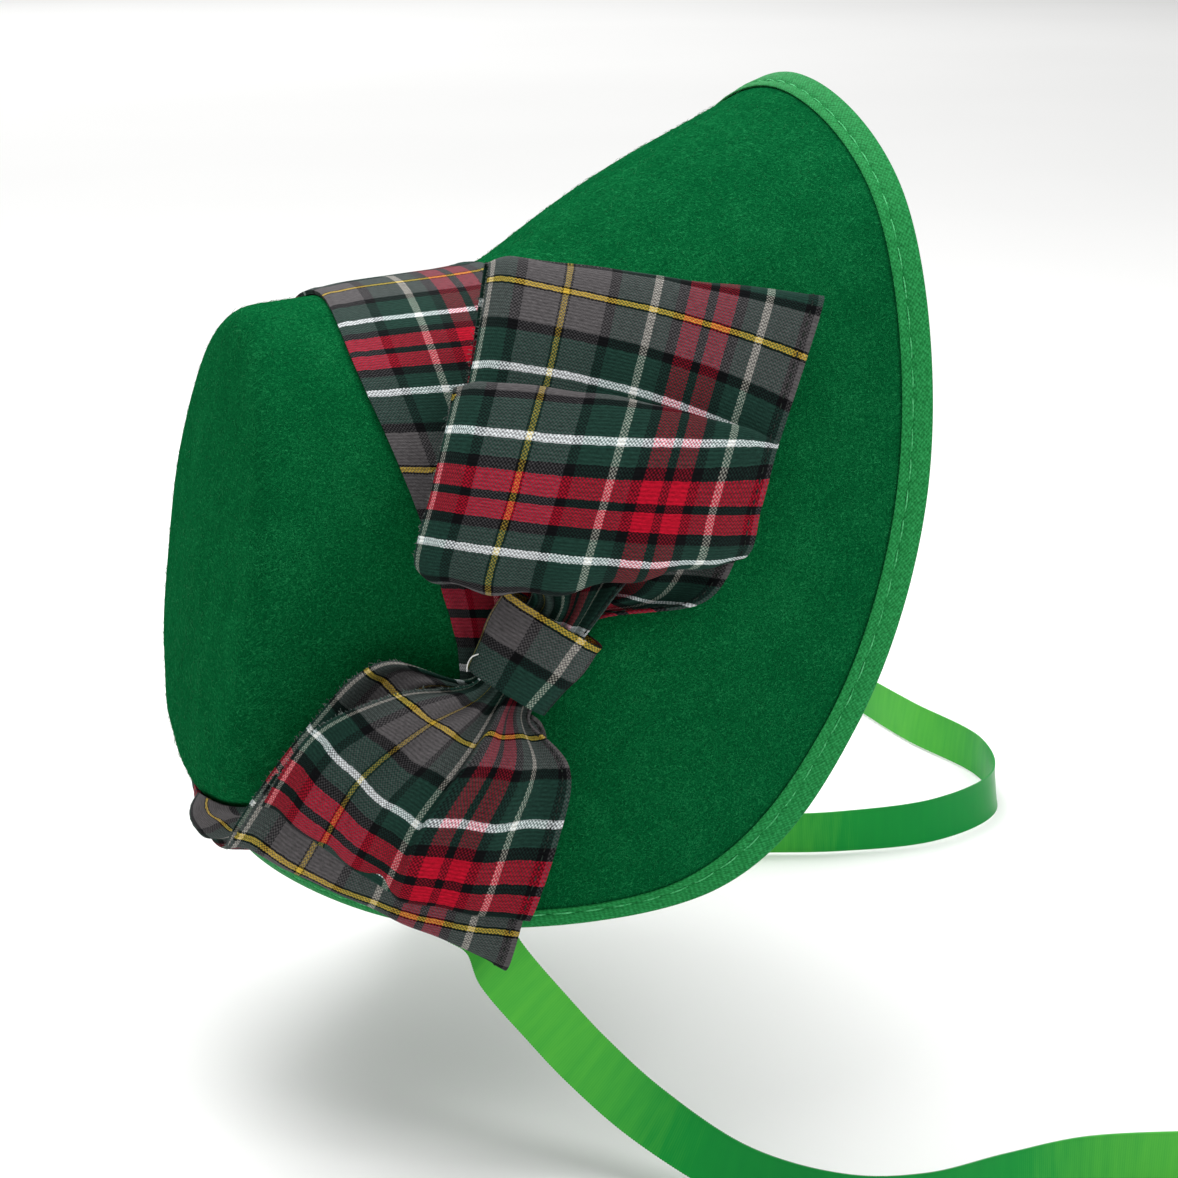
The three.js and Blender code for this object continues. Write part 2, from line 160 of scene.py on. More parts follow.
UPPER_FOLDS = (
    Fold((-26, -93, -73), (59, -116, -85), 0, 4, 2.0, -108, -116),
    Fold((-15, -83, -44), (76, -114, -47), 5, 0, 0.6, -72, -72),
    Fold((4, -58, 17), (101, -103, 5), 3, 1, 0.1, -14, -27),
    Fold((3, -63, 18.5), (100, -108, 7), 4, 1, 0.1, -9, -21.5),
    Fold((-12, -86, -17), (81, -117, -37), 5, 0, 0.2, 36, 28, 0, 0, 6),
    Fold((-25, -96, -44), (73, -119, -58), 7, 0, 0.2, 71, 74),
    Fold((-18, -94, -14), (79, -121, -35), 8, 0, 0.2, 100.5, 117.5, 0, 6.5, -6),
    Fold((-31, -109, -42), (72, -125, -55), 13, 0, 0.4, 140.5, 140),
    Fold((-38, -114, -67), (68, -123, -71), 13, -5.5, 0.8, 171, 159, 5.3),
    Fold((-20, -108, -70), (42, -114, -70), 0, -3, 1.6, 186, 192),
)
LOWER_FOLDS = (
    Fold((-45, -98, -101), (7, -106, -130), 1, 4, 1.8, 193, 193),
    Fold((-67, -85, -125), (6, -109, -160), 1, 12, 0.6, 158, 163),
    Fold((-91, -69, -166), (-11, -113, -205), 0, 0.5, 0.2, 103, 115, 0, 0, -6),
    Fold((-91, -74, -165), (-11, -118, -204), 1, 0.5, 0.2, 98, 108, 0, 0, -6),
    Fold((-77, -88, -137), (-3, -120, -176), 5, 10, 0.4, 70, 72),
    Fold((-82, -89, -146), (-5, -123, -185), 5, 10, 0.4, 57.5, 57.5),
    Fold((-68, -100, -120), (5, -122, -158), 6, 15, 1.5, 28.7, 28.7),
    Fold((-45, -111, -107), (9, -120, -136), 4, 8, 2.8, 0.5, 6.5),
)
# Each loop's folds, then the place along the cloth of its back layer and of its front layer, each at the
# knot's mouth and inside it, rear and fore.
STRIPS = {
    Loop.UPPER: (UPPER_FOLDS, ((-134, -150), (-149, -165)), ((206, 214), (221, 229))),
    Loop.LOWER: (LOWER_FOLDS, ((221, 203), (236, 218)), ((-25, -12), (-40, -27))),
}


@dataclass(frozen=True)
class TiePoint:
    """One point of a tie's free route, with the ribbon's width direction."""

    place: Triple
    across: Triple


RIGHT_ROUTE = (
    TiePoint((-7, -99, -213), (0.74, 0, 0.67)),
    TiePoint((6, -106, -231), (0.72, 0, 0.69)),
    TiePoint((18, -113, -246), (0.7, 0.05, 0.71)),
    TiePoint((36, -125, -264), (0.6, 0.1, 0.79)),
    TiePoint((61, -150, -278), (0.22, 0.1, 0.96)),
    TiePoint((87, -175, -279.5), (0.02, 0.08, 1)),
    TiePoint((112, -183, -279.5), (0, 0.06, 1)),
    TiePoint((142, -181, -279.5), (0, 0.05, 1)),
    TiePoint((172, -180, -279.5), (0, 0.05, 1)),
    TiePoint((204, -187, -279.5), (0, 0.05, 1)),
    TiePoint((222, -193, -279.5), (0, 0.05, 1)),
)
LEFT_ROUTE = (
    TiePoint((-7, 99, -213), (0.74, 0, 0.67)),
    TiePoint((8, 106, -234), (0.72, 0, 0.69)),
    TiePoint((36, 116, -264), (0.55, 0, 0.83)),
    TiePoint((76, 123, -279), (0.12, 0, 0.99)),
    TiePoint((126, 121, -279.5), (0, 0, 1)),
    TiePoint((174, 108, -279.5), (0, 0, 1)),
    TiePoint((215, 96, -279.5), (0, 0, 1)),
    TiePoint((262, 93, -279.5), (0, 0, 1)),
    TiePoint((303, 112, -279.5), (0, 0, 1)),
    TiePoint((318, 152, -279.5), (0, 0, 1)),
    TiePoint((309, 206, -279.5), (0, 0, 1)),
    TiePoint((304, 250, -279.5), (0, 0, 1)),
    TiePoint((300, 280, -279.5), (0, 0, 1)),
)


def linear(code: str) -> tuple[float, float, float, float]:
    """Turns an sRGB hex colour into linear light.

    Args:
        code: Colour such as "#0b5c2a".

    Returns:
        Red, green, blue and an alpha of 1.
    """
    shares = [int(code[k:k + 2], 16) / 255 for k in (1, 3, 5)]
    red, green, blue = (s / 12.92 if s <= 0.04045 else ((s + 0.055) / 1.055) ** 2.4 for s in shares)
    return red, green, blue, 1.0


def feed(tree: bpy.types.NodeTree, node: bpy.types.Node, inputs: dict) -> None:
    """Links or sets inputs of a node.

    Args:
        tree: Tree that the node is in.
        node: The node.
        inputs: What to link or set, by input name or number: a node links its first output.
    """
    for key, value in inputs.items():
        if isinstance(value, bpy.types.Node):
            value = value.outputs[0]
        if isinstance(value, bpy.types.NodeSocket):
            tree.links.new(value, node.inputs[key])
        else:
            node.inputs[key].default_value = value


def add_node(tree: bpy.types.NodeTree, kind: str, settings: dict, inputs: dict,
             stops: Sequence[tuple[float, str]] = ()) -> bpy.types.Node:
    """Adds one node with its settings and links.

    Args:
        tree: Tree that gets the node.
        kind: Node type, without the prefix that all shader nodes share.
        settings: Properties of the node by name.
        inputs: What to link or set, by input name or number: a node links its first output.
        stops: Position and hex colour of each stop, in order, where the node has a colour ramp.

    Returns:
        The new node.
    """
    node = tree.nodes.new("ShaderNode" + kind)
    for name, value in settings.items():
        setattr(node, name, value)
    if stops:
        elements = node.color_ramp.elements
        while len(elements) < len(stops):
            elements.new(1.0)
        for element, (position, code) in zip(elements, stops):
            element.position, element.color = position, linear(code)
    feed(tree, node, inputs)
    return node


def weave(tree: bpy.types.NodeTree, axes: bpy.types.Node, pitch: float) -> bpy.types.Node:
    """Draws plain weave: which of two crossing threads lies on top.

    Args:
        tree: Tree that gets the nodes.
        axes: Node that gives the place across and along the cloth.
        pitch: Distance between threads.

    Returns:
        Node that gives a value from -1, warp on top, to 1, weft on top.
    """
    waves = []
    for axis in (0, 1):
        turn = add_node(tree, "Math", {"operation": "MULTIPLY"}, {0: axes.outputs[axis], 1: math.pi / pitch})
        waves.append(add_node(tree, "Math", {"operation": "SINE"}, {0: turn}))
    return add_node(tree, "Math", {"operation": "MULTIPLY"}, {0: waves[0], 1: waves[1]})


def wavered(tree: bpy.types.NodeTree, amount: float, scale: float,
            detail: float) -> tuple[bpy.types.Node, bpy.types.Node]:
    """Reads the cloth map, plain and with a small waver, so that no thread runs quite straight.

    Args:
        tree: Tree that gets the nodes.
        amount: Size of the waver in millimetres.
        scale: Scale of the noise that makes it.
        detail: Detail of that noise.

    Returns:
        Nodes that give the plain place, and the wavered place across and along the cloth.
    """
    place = add_node(tree, "UVMap", {"uv_map": CLOTH_MAP}, {})
    noise = add_node(tree, "TexNoise", {}, {"Vector": place, "Scale": scale, "Detail": detail})
    shift = add_node(tree, "VectorMath", {"operation": "MULTIPLY_ADD"},
                     {0: noise.outputs["Color"], 1: (amount, amount, 0.0), 2: place})
    return place, add_node(tree, "SeparateXYZ", {}, {0: shift})


def hermite(start: np.ndarray, end: np.ndarray, leave: np.ndarray, arrive: np.ndarray,
            w: np.ndarray) -> np.ndarray:
    """Reads cubic pieces of curve.

    Args:
        start: First points.
        end: Last points.
        leave: Tangents at the first points.
        arrive: Tangents at the last points.
        w: Share of the way along each piece.

    Returns:
        Points on the pieces.
    """
    square, cube = w * w, w * w * w
    leaving = (2 * cube - 3 * square + 1) * start + (cube - 2 * square + w) * leave
    return leaving + (3 * square - 2 * cube) * end + (cube - square) * arrive


def closed_curve(points: np.ndarray, places: np.ndarray) -> np.ndarray:
    """Reads a smooth closed curve.

    Args:
        points: Points that it goes through, one row each.
        places: Where to read, counted in points.

    Returns:
        One row for each place.
    """
    low = np.floor(places).astype(int)
    before, start, end, after = (points[(low + d) % len(points)] for d in (-1, 0, 1, 2))
    return hermite(start, end, (end - before) / 2, (after - start) / 2, (places - low)[:, None])


def open_curve(points: np.ndarray, places: np.ndarray, even: bool = False) -> np.ndarray:
    """Reads a smooth open curve.

    Args:
        points: Points that it goes through, one row each.
        places: Where to read, counted in points.
        even: Whether the points count as evenly spaced.

    Returns:
        One row for each place.
    """
    padded = np.vstack((2 * points[0] - points[1], points, 2 * points[-1] - points[-2]))
    low = np.clip(np.floor(places).astype(int), 0, len(points) - 2)
    w = (places - low)[:, None]
    before, start, end, after = (padded[low + d] for d in range(4))
    if even:
        return hermite(start, end, (end - before) / 2, (after - start) / 2, w)
    spans = ((before, start), (start, end), (end, after))
    d0, d1, d2 = (np.sqrt(np.linalg.norm(b - a, axis=1)[:, None]) + LEAST_SPAN for a, b in spans)
    leave = ((start - before) / d0 - (end - before) / (d0 + d1) + (end - start) / d1) * d1
    arrive = ((end - start) / d1 - (after - start) / (d1 + d2) + (after - end) / d2) * d1
    return hermite(start, end, leave, arrive, w)


def unit(vectors: np.ndarray) -> np.ndarray:
    """Scales vectors in the last axis to length one."""
    return vectors / np.maximum(np.linalg.norm(vectors, axis=-1, keepdims=True), LEAST_LENGTH)


def grid_normals(grid: np.ndarray) -> np.ndarray:
    """Works out unit normals of an open grid of points, rows by columns."""
    return unit(np.cross(np.gradient(grid, axis=0), np.gradient(grid, axis=1)))


def arc_lengths(line: np.ndarray) -> np.ndarray:
    """Works out the distance along a line of points, from its first point."""
    return np.concatenate(([0.0], np.cumsum(np.linalg.norm(np.diff(line, axis=0), axis=1))))


def metres(points: np.ndarray) -> np.ndarray:
    """Turns places in the tables' datum into metres in the part's frame."""
    return (points - HEAD_SEAT) * MM


def evenly(line: np.ndarray, places: np.ndarray) -> np.ndarray:
    """Reads a line of points, or of values beside it, at distances.

    Args:
        line: Points in the first three columns, then any values that go with them.
        places: Distances along the line.

    Returns:
        One row for each distance.
    """
    arc = arc_lengths(line[:, :3])
    return np.stack([np.interp(places, arc, column) for column in line.T], axis=1)


def cloth_map(across: np.ndarray, along: np.ndarray) -> np.ndarray:
    """Pairs places across and along the flat cloth, as one grid."""
    return np.stack(np.broadcast_arrays(across, along), axis=2)


def both_faces(middle: np.ndarray, offset: np.ndarray) -> np.ndarray:
    """Lists the points of a thin body's upper grid, then of its lower grid."""
    return np.concatenate([(middle + side * offset).reshape(-1, 3) for side in (1, -1)])


def quads(*corners: np.ndarray) -> np.ndarray:
    """Stacks arrays of corners as faces, one row each."""
    return np.stack([c.ravel() for c in corners], axis=1)


def sheet_faces(rows: int, columns: int, closed: bool = False) -> np.ndarray:
    """Lists the faces of a thin body between an upper and a lower grid.

    Args:
        rows: Rows of each grid.
        columns: Columns of each grid.
        closed: Whether the last row meets the first.

    Returns:
        Four corners for each face, upper points first.
    """
    index = np.arange(rows * columns).reshape(rows, columns)
    after = np.roll(index, -1, axis=0) if closed else index[1:]
    here = index if closed else index[:-1]
    shift = rows * columns
    a, b, c, d = here[:, :-1], after[:, :-1], after[:, 1:], here[:, 1:]
    faces = [quads(a, b, c, d), quads(a + shift, d + shift, c + shift, b + shift)]
    first, first_on, last, last_on = here[:, 0], after[:, 0], here[:, -1], after[:, -1]
    faces.append(quads(first, first + shift, first_on + shift, first_on))
    faces.append(quads(last, last_on, last_on + shift, last + shift))
    if not closed:
        top, end = index[0], index[-1]
        faces.append(quads(top[:-1], top[1:], top[1:] + shift, top[:-1] + shift))
        faces.append(quads(end[:-1], end[:-1] + shift, end[1:] + shift, end[1:]))
    return np.vstack(faces)


def make_piece(name: str, points: np.ndarray, faces: np.ndarray, finish: "Finish", node: str = "",
               cloth: np.ndarray | None = None) -> bpy.types.Object:
    """Makes one mesh piece in the part's frame and ties it to the part.

    Args:
        name: Piece name.
        points: Points in millimetres from the tables' datum.
        faces: Corners of each face.
        finish: Its finish; a piece of the studio has one without a slot.
        node: Node that it stands for, if any.
        cloth: Place of each point on the flat cloth in millimetres, where the finish needs it.

    Returns:
        The new object.
    """
    mesh = bpy.data.meshes.new(name)
    mesh.from_pydata(metres(points).tolist(), [], faces.tolist())
    if cloth is not None:
        layer = mesh.uv_layers.new(name=CLOTH_MAP)
        corner = np.empty(len(mesh.loops), dtype=np.int32)
        mesh.loops.foreach_get("vertex_index", corner)
        layer.uv.foreach_set("vector", cloth[corner].astype(np.float32).ravel())
    form = bmesh.new()
    form.from_mesh(mesh)
    bmesh.ops.remove_doubles(form, verts=form.verts, dist=SAME_POINT)
    form.to_mesh(mesh)
    form.free()
    mesh.shade_smooth()
    mesh.set_sharp_from_angle(angle=SHARP_EDGE)
    mesh.materials.append(finish.material())
    piece = bpy.data.objects.new(name, mesh)
    bpy.context.scene.collection.objects.link(piece)
    if finish.slot:
        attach(piece, BODY)
    if node:
        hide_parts(node)
    LOG.info("%s: %d faces, stands for %s", name, len(mesh.polygons), node or "no node")
    return piece


def make_sheet(name: str, middle: np.ndarray, normals: np.ndarray, thickness: float | np.ndarray,
               finish: "Finish", node: str, cloth: np.ndarray) -> bpy.types.Object:
    """Makes a cloth piece of some thickness about an open grid.

    Args:
        name: Piece name.
        middle: Grid of points, rows by columns.
        normals: Normal at each point.
        thickness: One thickness, or one at each point.
        finish: Its finish.
        node: Node that it stands for.
        cloth: Place of each grid point on the flat cloth in millimetres.

    Returns:
        The new object.
    """
    half = np.broadcast_to(np.asarray(thickness, dtype=float), middle.shape[:2])[:, :, None] / 2
    faces = sheet_faces(*middle.shape[:2])
    return make_piece(name, both_faces(middle, normals * half), faces, finish, node,
                      np.tile(cloth.reshape(-1, 2), (2, 1)))


def make_threads(name: str, paths: np.ndarray, ups: np.ndarray, radii: np.ndarray, sides: int,
                 finish: "Finish") -> bpy.types.Object:
    """Makes one piece of thin tubes along many short paths.

    Args:
        name: Piece name.
        paths: Points of each path, all with the same count.
        ups: A direction for each path that isn't along it.
        radii: Radius at each point, the same for all the paths.
        sides: Sides of each tube.
        finish: Its finish.

    Returns:
        The new object.
    """
    along = unit(np.gradient(paths, axis=1))
    beside = unit(np.cross(along, ups[:, None, :]))
    over = np.cross(beside, along)
    turn = np.arange(sides) * 2 * math.pi / sides
    ring = np.cos(turn)[:, None] * beside[:, :, None, :] + np.sin(turn)[:, None] * over[:, :, None, :]
    points = paths[:, :, None, :] + radii[:, None, None] * ring
    index = np.arange(points.size // 3).reshape(points.shape[:3])
    near, far = index[:, :-1], index[:, 1:]
    faces = quads(near, np.roll(near, -1, axis=2), np.roll(far, -1, axis=2), far)
    return make_piece(name, points.reshape(-1, 3), faces, finish)


@dataclass(frozen=True)
class Finish:
    """A surface, named for its real material and how it was made.

    Attributes:
        name: Material name.
        slot: Material slot of the part that it belongs to; empty for the studio.
    """

    name: str
    slot: str

    def material(self) -> bpy.types.Material:
        """Gives the finish's material, made once.

        Returns:
            The material.
        """
        found = bpy.data.materials.get(self.name)
        if found:
            return found
        made = bpy.data.materials.new(self.name)
        made.use_nodes = True
        self.dress(made.node_tree, made.node_tree.nodes["Principled BSDF"])
        return made

    def dress(self, tree: bpy.types.NodeTree, shader: bpy.types.Node) -> None:
        """Sets the shader and the nodes that feed it.

        Args:
            tree: The material's tree.
            shader: Its principled shader.
        """
        raise NotImplementedError


@dataclass(frozen=True)
class PressedWoolFelt(Finish):
    """Wool felt, wetted and blocked: matte, with short fibres lying every way that catch light at edges."""

    name: str = "wool_felt_blocked"
    slot: str = "felt"
    deep: str = "#034020"
    body: str = "#08572d"
    lit: str = "#227a48"
    nap: str = "#2fb76a"
    fibre_width: float = 0.55
    fibre_length: float = 3.6
    fibre_height: float = 0.4
    lays: tuple[Triple, ...] = ((0.9, 0.4, 0.5), (1.5, 0.9, 0.1), (0.6, 1.9, 1.2))
    cloud: float = 16.0
    cloud_weight: float = 0.14

    def dress(self, tree: bpy.types.NodeTree, shader: bpy.types.Node) -> None:
        """Lays streaks of fibre in three directions over soft clouds of dye.

        Args:
            tree: The material's tree.
            shader: Its principled shader.
        """
        place = add_node(tree, "TexCoord", {}, {}).outputs["Object"]
        size = (self.fibre_width * MM, self.fibre_width * MM, self.fibre_length * MM)
        streaks = 0.0
        for turn in self.lays:
            lay = add_node(tree, "Mapping", {"vector_type": "TEXTURE"},
                           {"Vector": place, "Rotation": turn, "Scale": size})
            noise = add_node(tree, "TexNoise", {},
                             {"Vector": lay, "Scale": 1.0, "Detail": 2.0, "Distortion": 1.3})
            streaks = add_node(tree, "Math", {"operation": "MAXIMUM"}, {0: streaks, 1: noise})
        clouds = add_node(tree, "TexNoise", {}, {"Vector": place, "Scale": 1 / (self.cloud * MM),
                                                 "Detail": 4.0, "Roughness": 0.55})
        both = add_node(tree, "Math", {"operation": "MULTIPLY_ADD"},
                        {0: clouds, 1: self.cloud_weight, 2: streaks})
        # Lighter along the fibre streaks, towards the lit colour: painted light on fibres, over random clouds
        # of dye.
        ramp = add_node(tree, "ValToRGB", {}, {0: both},
                        ((0.56, self.deep), (0.69, self.body), (0.84, self.lit)))
        bump = add_node(tree, "Bump", {},
                        {"Height": streaks, "Strength": 0.55, "Distance": self.fibre_height * MM})
        feed(tree, shader, {"Base Color": ramp, "Normal": bump, "Roughness": 0.95,
                            "Specular IOR Level": 0.0, "Sheen Weight": 0.05, "Sheen Roughness": 0.45,
                            "Sheen Tint": linear(self.nap)})


@dataclass(frozen=True)
class CottonBiasTape(Finish):
    """Cotton bias tape: a coarse plain weave breaks the light into pebbles with a dull gloss on top."""

    name: str = "cotton_bias_tape_woven"
    slot: str = "binding"
    # Colours from painted shade in the weave's hollows, through the threads' own green, to painted light on
    # raised threads and pebbles.
    hollow_shade: str = "#07612b"
    rib: str = "#167a3a"
    lit_pebble: str = "#2b9150"
    # Real threads are about 0.4 mm apart, finer than the picture shows, so they are drawn twice as wide.
    thread: float = 0.85
    thread_height: float = 0.3
    thread_weight: float = 0.22
    waver: float = 1.6

    def dress(self, tree: bpy.types.NodeTree, shader: bpy.types.Node) -> None:
        """Draws the weave from the cloth map, with painted shade in the hollows between threads and painted
        light on their tops, over random pebbled tone.

        Args:
            tree: The material's tree.
            shader: Its principled shader.
        """
        place, axes = wavered(tree, self.waver, 0.9, 2.0)
        pebble_mottle = add_node(tree, "TexNoise", {}, {"Vector": place, "Scale": 0.7, "Detail": 5.0})
        height = weave(tree, axes, self.thread)
        # Painted shade and light: the weave's hollows go dark and its raised threads light, over random
        # pebbled tone.
        tone = add_node(tree, "Math", {"operation": "MULTIPLY_ADD"},
                        {0: height, 1: self.thread_weight, 2: pebble_mottle})
        ramp = add_node(tree, "ValToRGB", {}, {0: tone},
                        ((0.22, self.hollow_shade), (0.5, self.rib), (0.8, self.lit_pebble)))
        bump = add_node(tree, "Bump", {},
                        {"Height": tone, "Strength": 0.6, "Distance": self.thread_height * MM})
        feed(tree, shader, {"Base Color": ramp, "Normal": bump, "Roughness": 0.75,
                            "Specular IOR Level": 0.15, "Sheen Weight": 0.05,
                            "Sheen Tint": linear(self.lit_pebble)})


@dataclass(frozen=True)
class WovenTartan(Finish):
    """Cotton tartan in plain weave: coloured threads cross, and each crossing mixes its two colours."""

    name: str = "cotton_tartan_woven"
    slot: str = "tartan"
    grey: str = "#524f50"
    black: str = "#08090b"
    green: str = "#19342c"
    white: str = "#e2e8ea"
    dull_white: str = "#c6c4b6"
    red: str = "#a60c24"
    yellow: str = "#bd9c38"
    half_sett: float = 46.85
    # Real threads are about 0.3 mm apart, finer than the picture shows, so they are drawn twice as wide.
    thread: float = 0.6
    thread_height: float = 0.2
    rib_weight: float = 1.6
    waver: float = 0.7
    weft_share: float = 0.64
    crossing: float = 0.42
    # Threads shade each other at a crossing, so its colours mix as the eye sees them and not as added light.
    eye_gamma: float = 2.2
    # Thick places in the weft are longer than they are wide, and show as short streaks.
    slub: Triple = (0.3, 0.9, 1.0)
    slub_tones: tuple[float, float] = (0.3, 1.7)
    # Darker in the grooves between weft threads: painted shade.
    groove_shade_tones: tuple[float, float] = (0.76, 1.18)

    def stripes(self, white: str) -> tuple[tuple[float, str], ...]:
        """Lists where each colour starts, in millimetres from the yellow line to the middle of the reds.

        Args:
            white: Colour of the white line, which is duller in the warp.

        Returns:
            Start and colour of each stripe.
        """
        return ((0.0, self.yellow), (0.9, self.black), (1.6, self.grey), (13.3, self.black),
                (16.6, self.green), (27.4, white), (30.0, self.green), (35.4, self.black),
                (38.9, self.red), (45.3, self.black))

    def dress(self, tree: bpy.types.NodeTree, shader: bpy.types.Node) -> None:
        """Draws warp and weft stripes from the cloth map, crosses them thread by thread and paints shade in
        the grooves between weft threads.

        Args:
            tree: The material's tree.
            shader: Its principled shader.
        """
        place, axes = wavered(tree, self.waver, 0.5, 3.0)
        colours = []
        for axis, white in ((0, self.dull_white), (1, self.white)):
            fold = add_node(tree, "Math", {"operation": "PINGPONG"},
                            {0: axes.outputs[axis], 1: self.half_sett})
            share = add_node(tree, "Math", {"operation": "DIVIDE"}, {0: fold, 1: self.half_sett})
            stops = [(start / self.half_sett, code) for start, code in self.stripes(white)]
            ramp = add_node(tree, "ValToRGB", {}, {0: share}, stops)
            ramp.color_ramp.interpolation = "CONSTANT"
            seen = add_node(tree, "Gamma", {}, {0: ramp, 1: 1 / self.eye_gamma})
            colours.append(seen)
        over = add_node(tree, "Math", {"operation": "MULTIPLY_ADD"},
                        {0: weave(tree, axes, self.thread), 1: self.crossing, 2: self.weft_share})
        mixed = add_node(tree, "Mix", {"data_type": "RGBA"}, {0: over, 6: colours[0], 7: colours[1]})
        crossed = add_node(tree, "Gamma", {}, {0: mixed.outputs[2], 1: self.eye_gamma})
        slub = add_node(tree, "Mapping", {}, {"Vector": place, "Scale": self.slub})
        yarn = add_node(tree, "TexNoise", {}, {"Vector": slub, "Scale": 1.8, "Detail": 4.0})
        thin, thick = self.slub_tones
        shade = add_node(tree, "MapRange", {}, {"Value": yarn, "To Min": thin, "To Max": thick})
        # Painted shade: the colour darkens in the grooves between weft threads.
        rib = add_node(tree, "Math", {"operation": "PINGPONG"}, {0: axes.outputs[1], 1: self.thread})
        low, high = self.groove_shade_tones
        groove = add_node(tree, "MapRange", {}, {"Value": rib, "From Max": self.thread,
                                                 "To Min": low, "To Max": high})
        tone = add_node(tree, "Math", {"operation": "MULTIPLY"}, {0: shade, 1: groove})
        cloth = add_node(tree, "Mix", {"data_type": "RGBA", "blend_type": "MULTIPLY"},
                         {0: 1.0, 6: crossed, 7: tone})
        height = add_node(tree, "Math", {"operation": "MULTIPLY_ADD"}, {0: rib, 1: self.rib_weight, 2: over})
        bump = add_node(tree, "Bump", {}, {"Height": height, "Strength": 0.35,
                                           "Distance": self.thread_height * MM})
        feed(tree, shader, {"Base Color": cloth.outputs[2], "Normal": bump, "Roughness": 0.85,
                            "Specular IOR Level": 0.05, "Sheen Weight": 0.03,
                            "Sheen Tint": linear(self.white)})


@dataclass(frozen=True)
class PolyesterSatin(Finish):
    """Polyester satin ribbon: long floats give a soft, bright band of light that follows its bends."""

    name: str = "polyester_satin_ribbon_woven"
    slot: str = "ribbon"
    shade: str = "#0b7737"
    body: str = "#168a38"
    bright: str = "#54b240"
    gloss: str = "#b4e3a0"
    # The loose ribbon sways on its edge, so long stretches of it turn towards the light and away again; this
    # is painted into its colour as light and shade that come and go along it.
    sway_light: float = 260.0
    sway_light_start: float = -10.0
    # Real weft lines are about 0.1 mm apart; they are drawn eight times as wide to show at all.
    line_pitch: float = 0.8
    line_height: float = 0.12
    float_spread: Triple = (0.04, 0.3, 1.0)
    # Middle tone, and what the floats, the lines and the painted light of the sway add to it.
    tone: float = 0.45
    weights: Triple = (0.2, 0.12, 0.22)

    def dress(self, tree: bpy.types.NodeTree, shader: bpy.types.Node) -> None:
        """Draws fine lines across the ribbon and paints light and shade that come and go along it.

        Args:
            tree: The material's tree.
            shader: Its principled shader.
        """
        place = add_node(tree, "UVMap", {"uv_map": CLOTH_MAP}, {})
        axes = add_node(tree, "SeparateXYZ", {}, {0: place})
        line = add_node(tree, "Math", {"operation": "PINGPONG"}, {0: axes.outputs[1], 1: self.line_pitch / 2})
        spread = add_node(tree, "Mapping", {}, {"Vector": place, "Scale": self.float_spread})
        floats = add_node(tree, "TexNoise", {}, {"Vector": spread, "Scale": 1.0, "Detail": 3.0})
        turn = 2 * math.pi / self.sway_light
        phase = add_node(tree, "Math", {"operation": "MULTIPLY_ADD"},
                         {0: axes.outputs[1], 1: turn, 2: -turn * self.sway_light_start})
        sway_light = add_node(tree, "Math", {"operation": "SINE"}, {0: phase})
        tone = self.tone
        for node, weight in zip((floats, line, sway_light), self.weights):
            tone = add_node(tree, "Math", {"operation": "MULTIPLY_ADD"}, {0: node, 1: weight, 2: tone})
        # From painted shade to painted light as the sway turns, over random streaks of the floats.
        ramp = add_node(tree, "ValToRGB", {}, {0: tone},
                        ((0.2, self.shade), (0.55, self.body), (0.85, self.bright)))
        bump = add_node(tree, "Bump", {},
                        {"Height": tone, "Strength": 0.12, "Distance": self.line_height * MM})
        grain = add_node(tree, "Tangent", {"direction_type": "UV_MAP", "uv_map": CLOTH_MAP}, {})
        feed(tree, shader, {"Base Color": ramp, "Normal": bump,
                            "Tangent": grain, "Roughness": 0.36, "Anisotropic": 0.7,
                            "Specular IOR Level": 0.14, "Specular Tint": linear(self.gloss),
                            "Sheen Weight": 0.03, "Sheen Tint": linear(self.bright)})


@dataclass(frozen=True)
class SpunThread(Finish):
    """Spun thread: two plies twisted together, dull, with painted light and painted shade for the two sides
    of each twist.
    """

    dark: str
    light: str
    twist: float = 0.9
    ply_height: float = 0.1

    def dress(self, tree: bpy.types.NodeTree, shader: bpy.types.Node) -> None:
        """Paints the light and shaded sides of the twist as fine bands.

        Args:
            tree: The material's tree.
            shader: Its principled shader.
        """
        place = add_node(tree, "TexCoord", {}, {}).outputs["Object"]
        ply = add_node(tree, "TexNoise", {}, {"Vector": place, "Scale": 1 / (self.twist * MM), "Detail": 2.0})
        # Painted shade and painted light for the sides of each twist.
        ramp = add_node(tree, "ValToRGB", {}, {0: ply}, ((0.35, self.dark), (0.65, self.light)))
        bump = add_node(tree, "Bump", {}, {"Height": ply, "Strength": 0.4, "Distance": self.ply_height * MM})
        feed(tree, shader, {"Base Color": ramp, "Normal": bump, "Roughness": 0.7, "Specular IOR Level": 0.05})


@dataclass(frozen=True)
class RolledPaper(Finish):
    """Seamless paper off a roll: pale, matte and very slightly uneven."""

    name: str = "seamless_paper_rolled"
    slot: str = ""
    low: str = "#f7f7f6"
    high: str = "#fafaf9"
    patch: float = 900.0

    def dress(self, tree: bpy.types.NodeTree, shader: bpy.types.Node) -> None:
        """Draws faint wide patches.

        Args:
            tree: The material's tree.
            shader: Its principled shader.
        """
        place = add_node(tree, "TexCoord", {}, {}).outputs["Object"]
        noise = add_node(tree, "TexNoise", {}, {"Vector": place, "Scale": 1 / (self.patch * MM)})
        ramp = add_node(tree, "ValToRGB", {}, {0: noise}, ((0.3, self.low), (0.7, self.high)))
        feed(tree, shader, {"Base Color": ramp, "Roughness": 0.9})


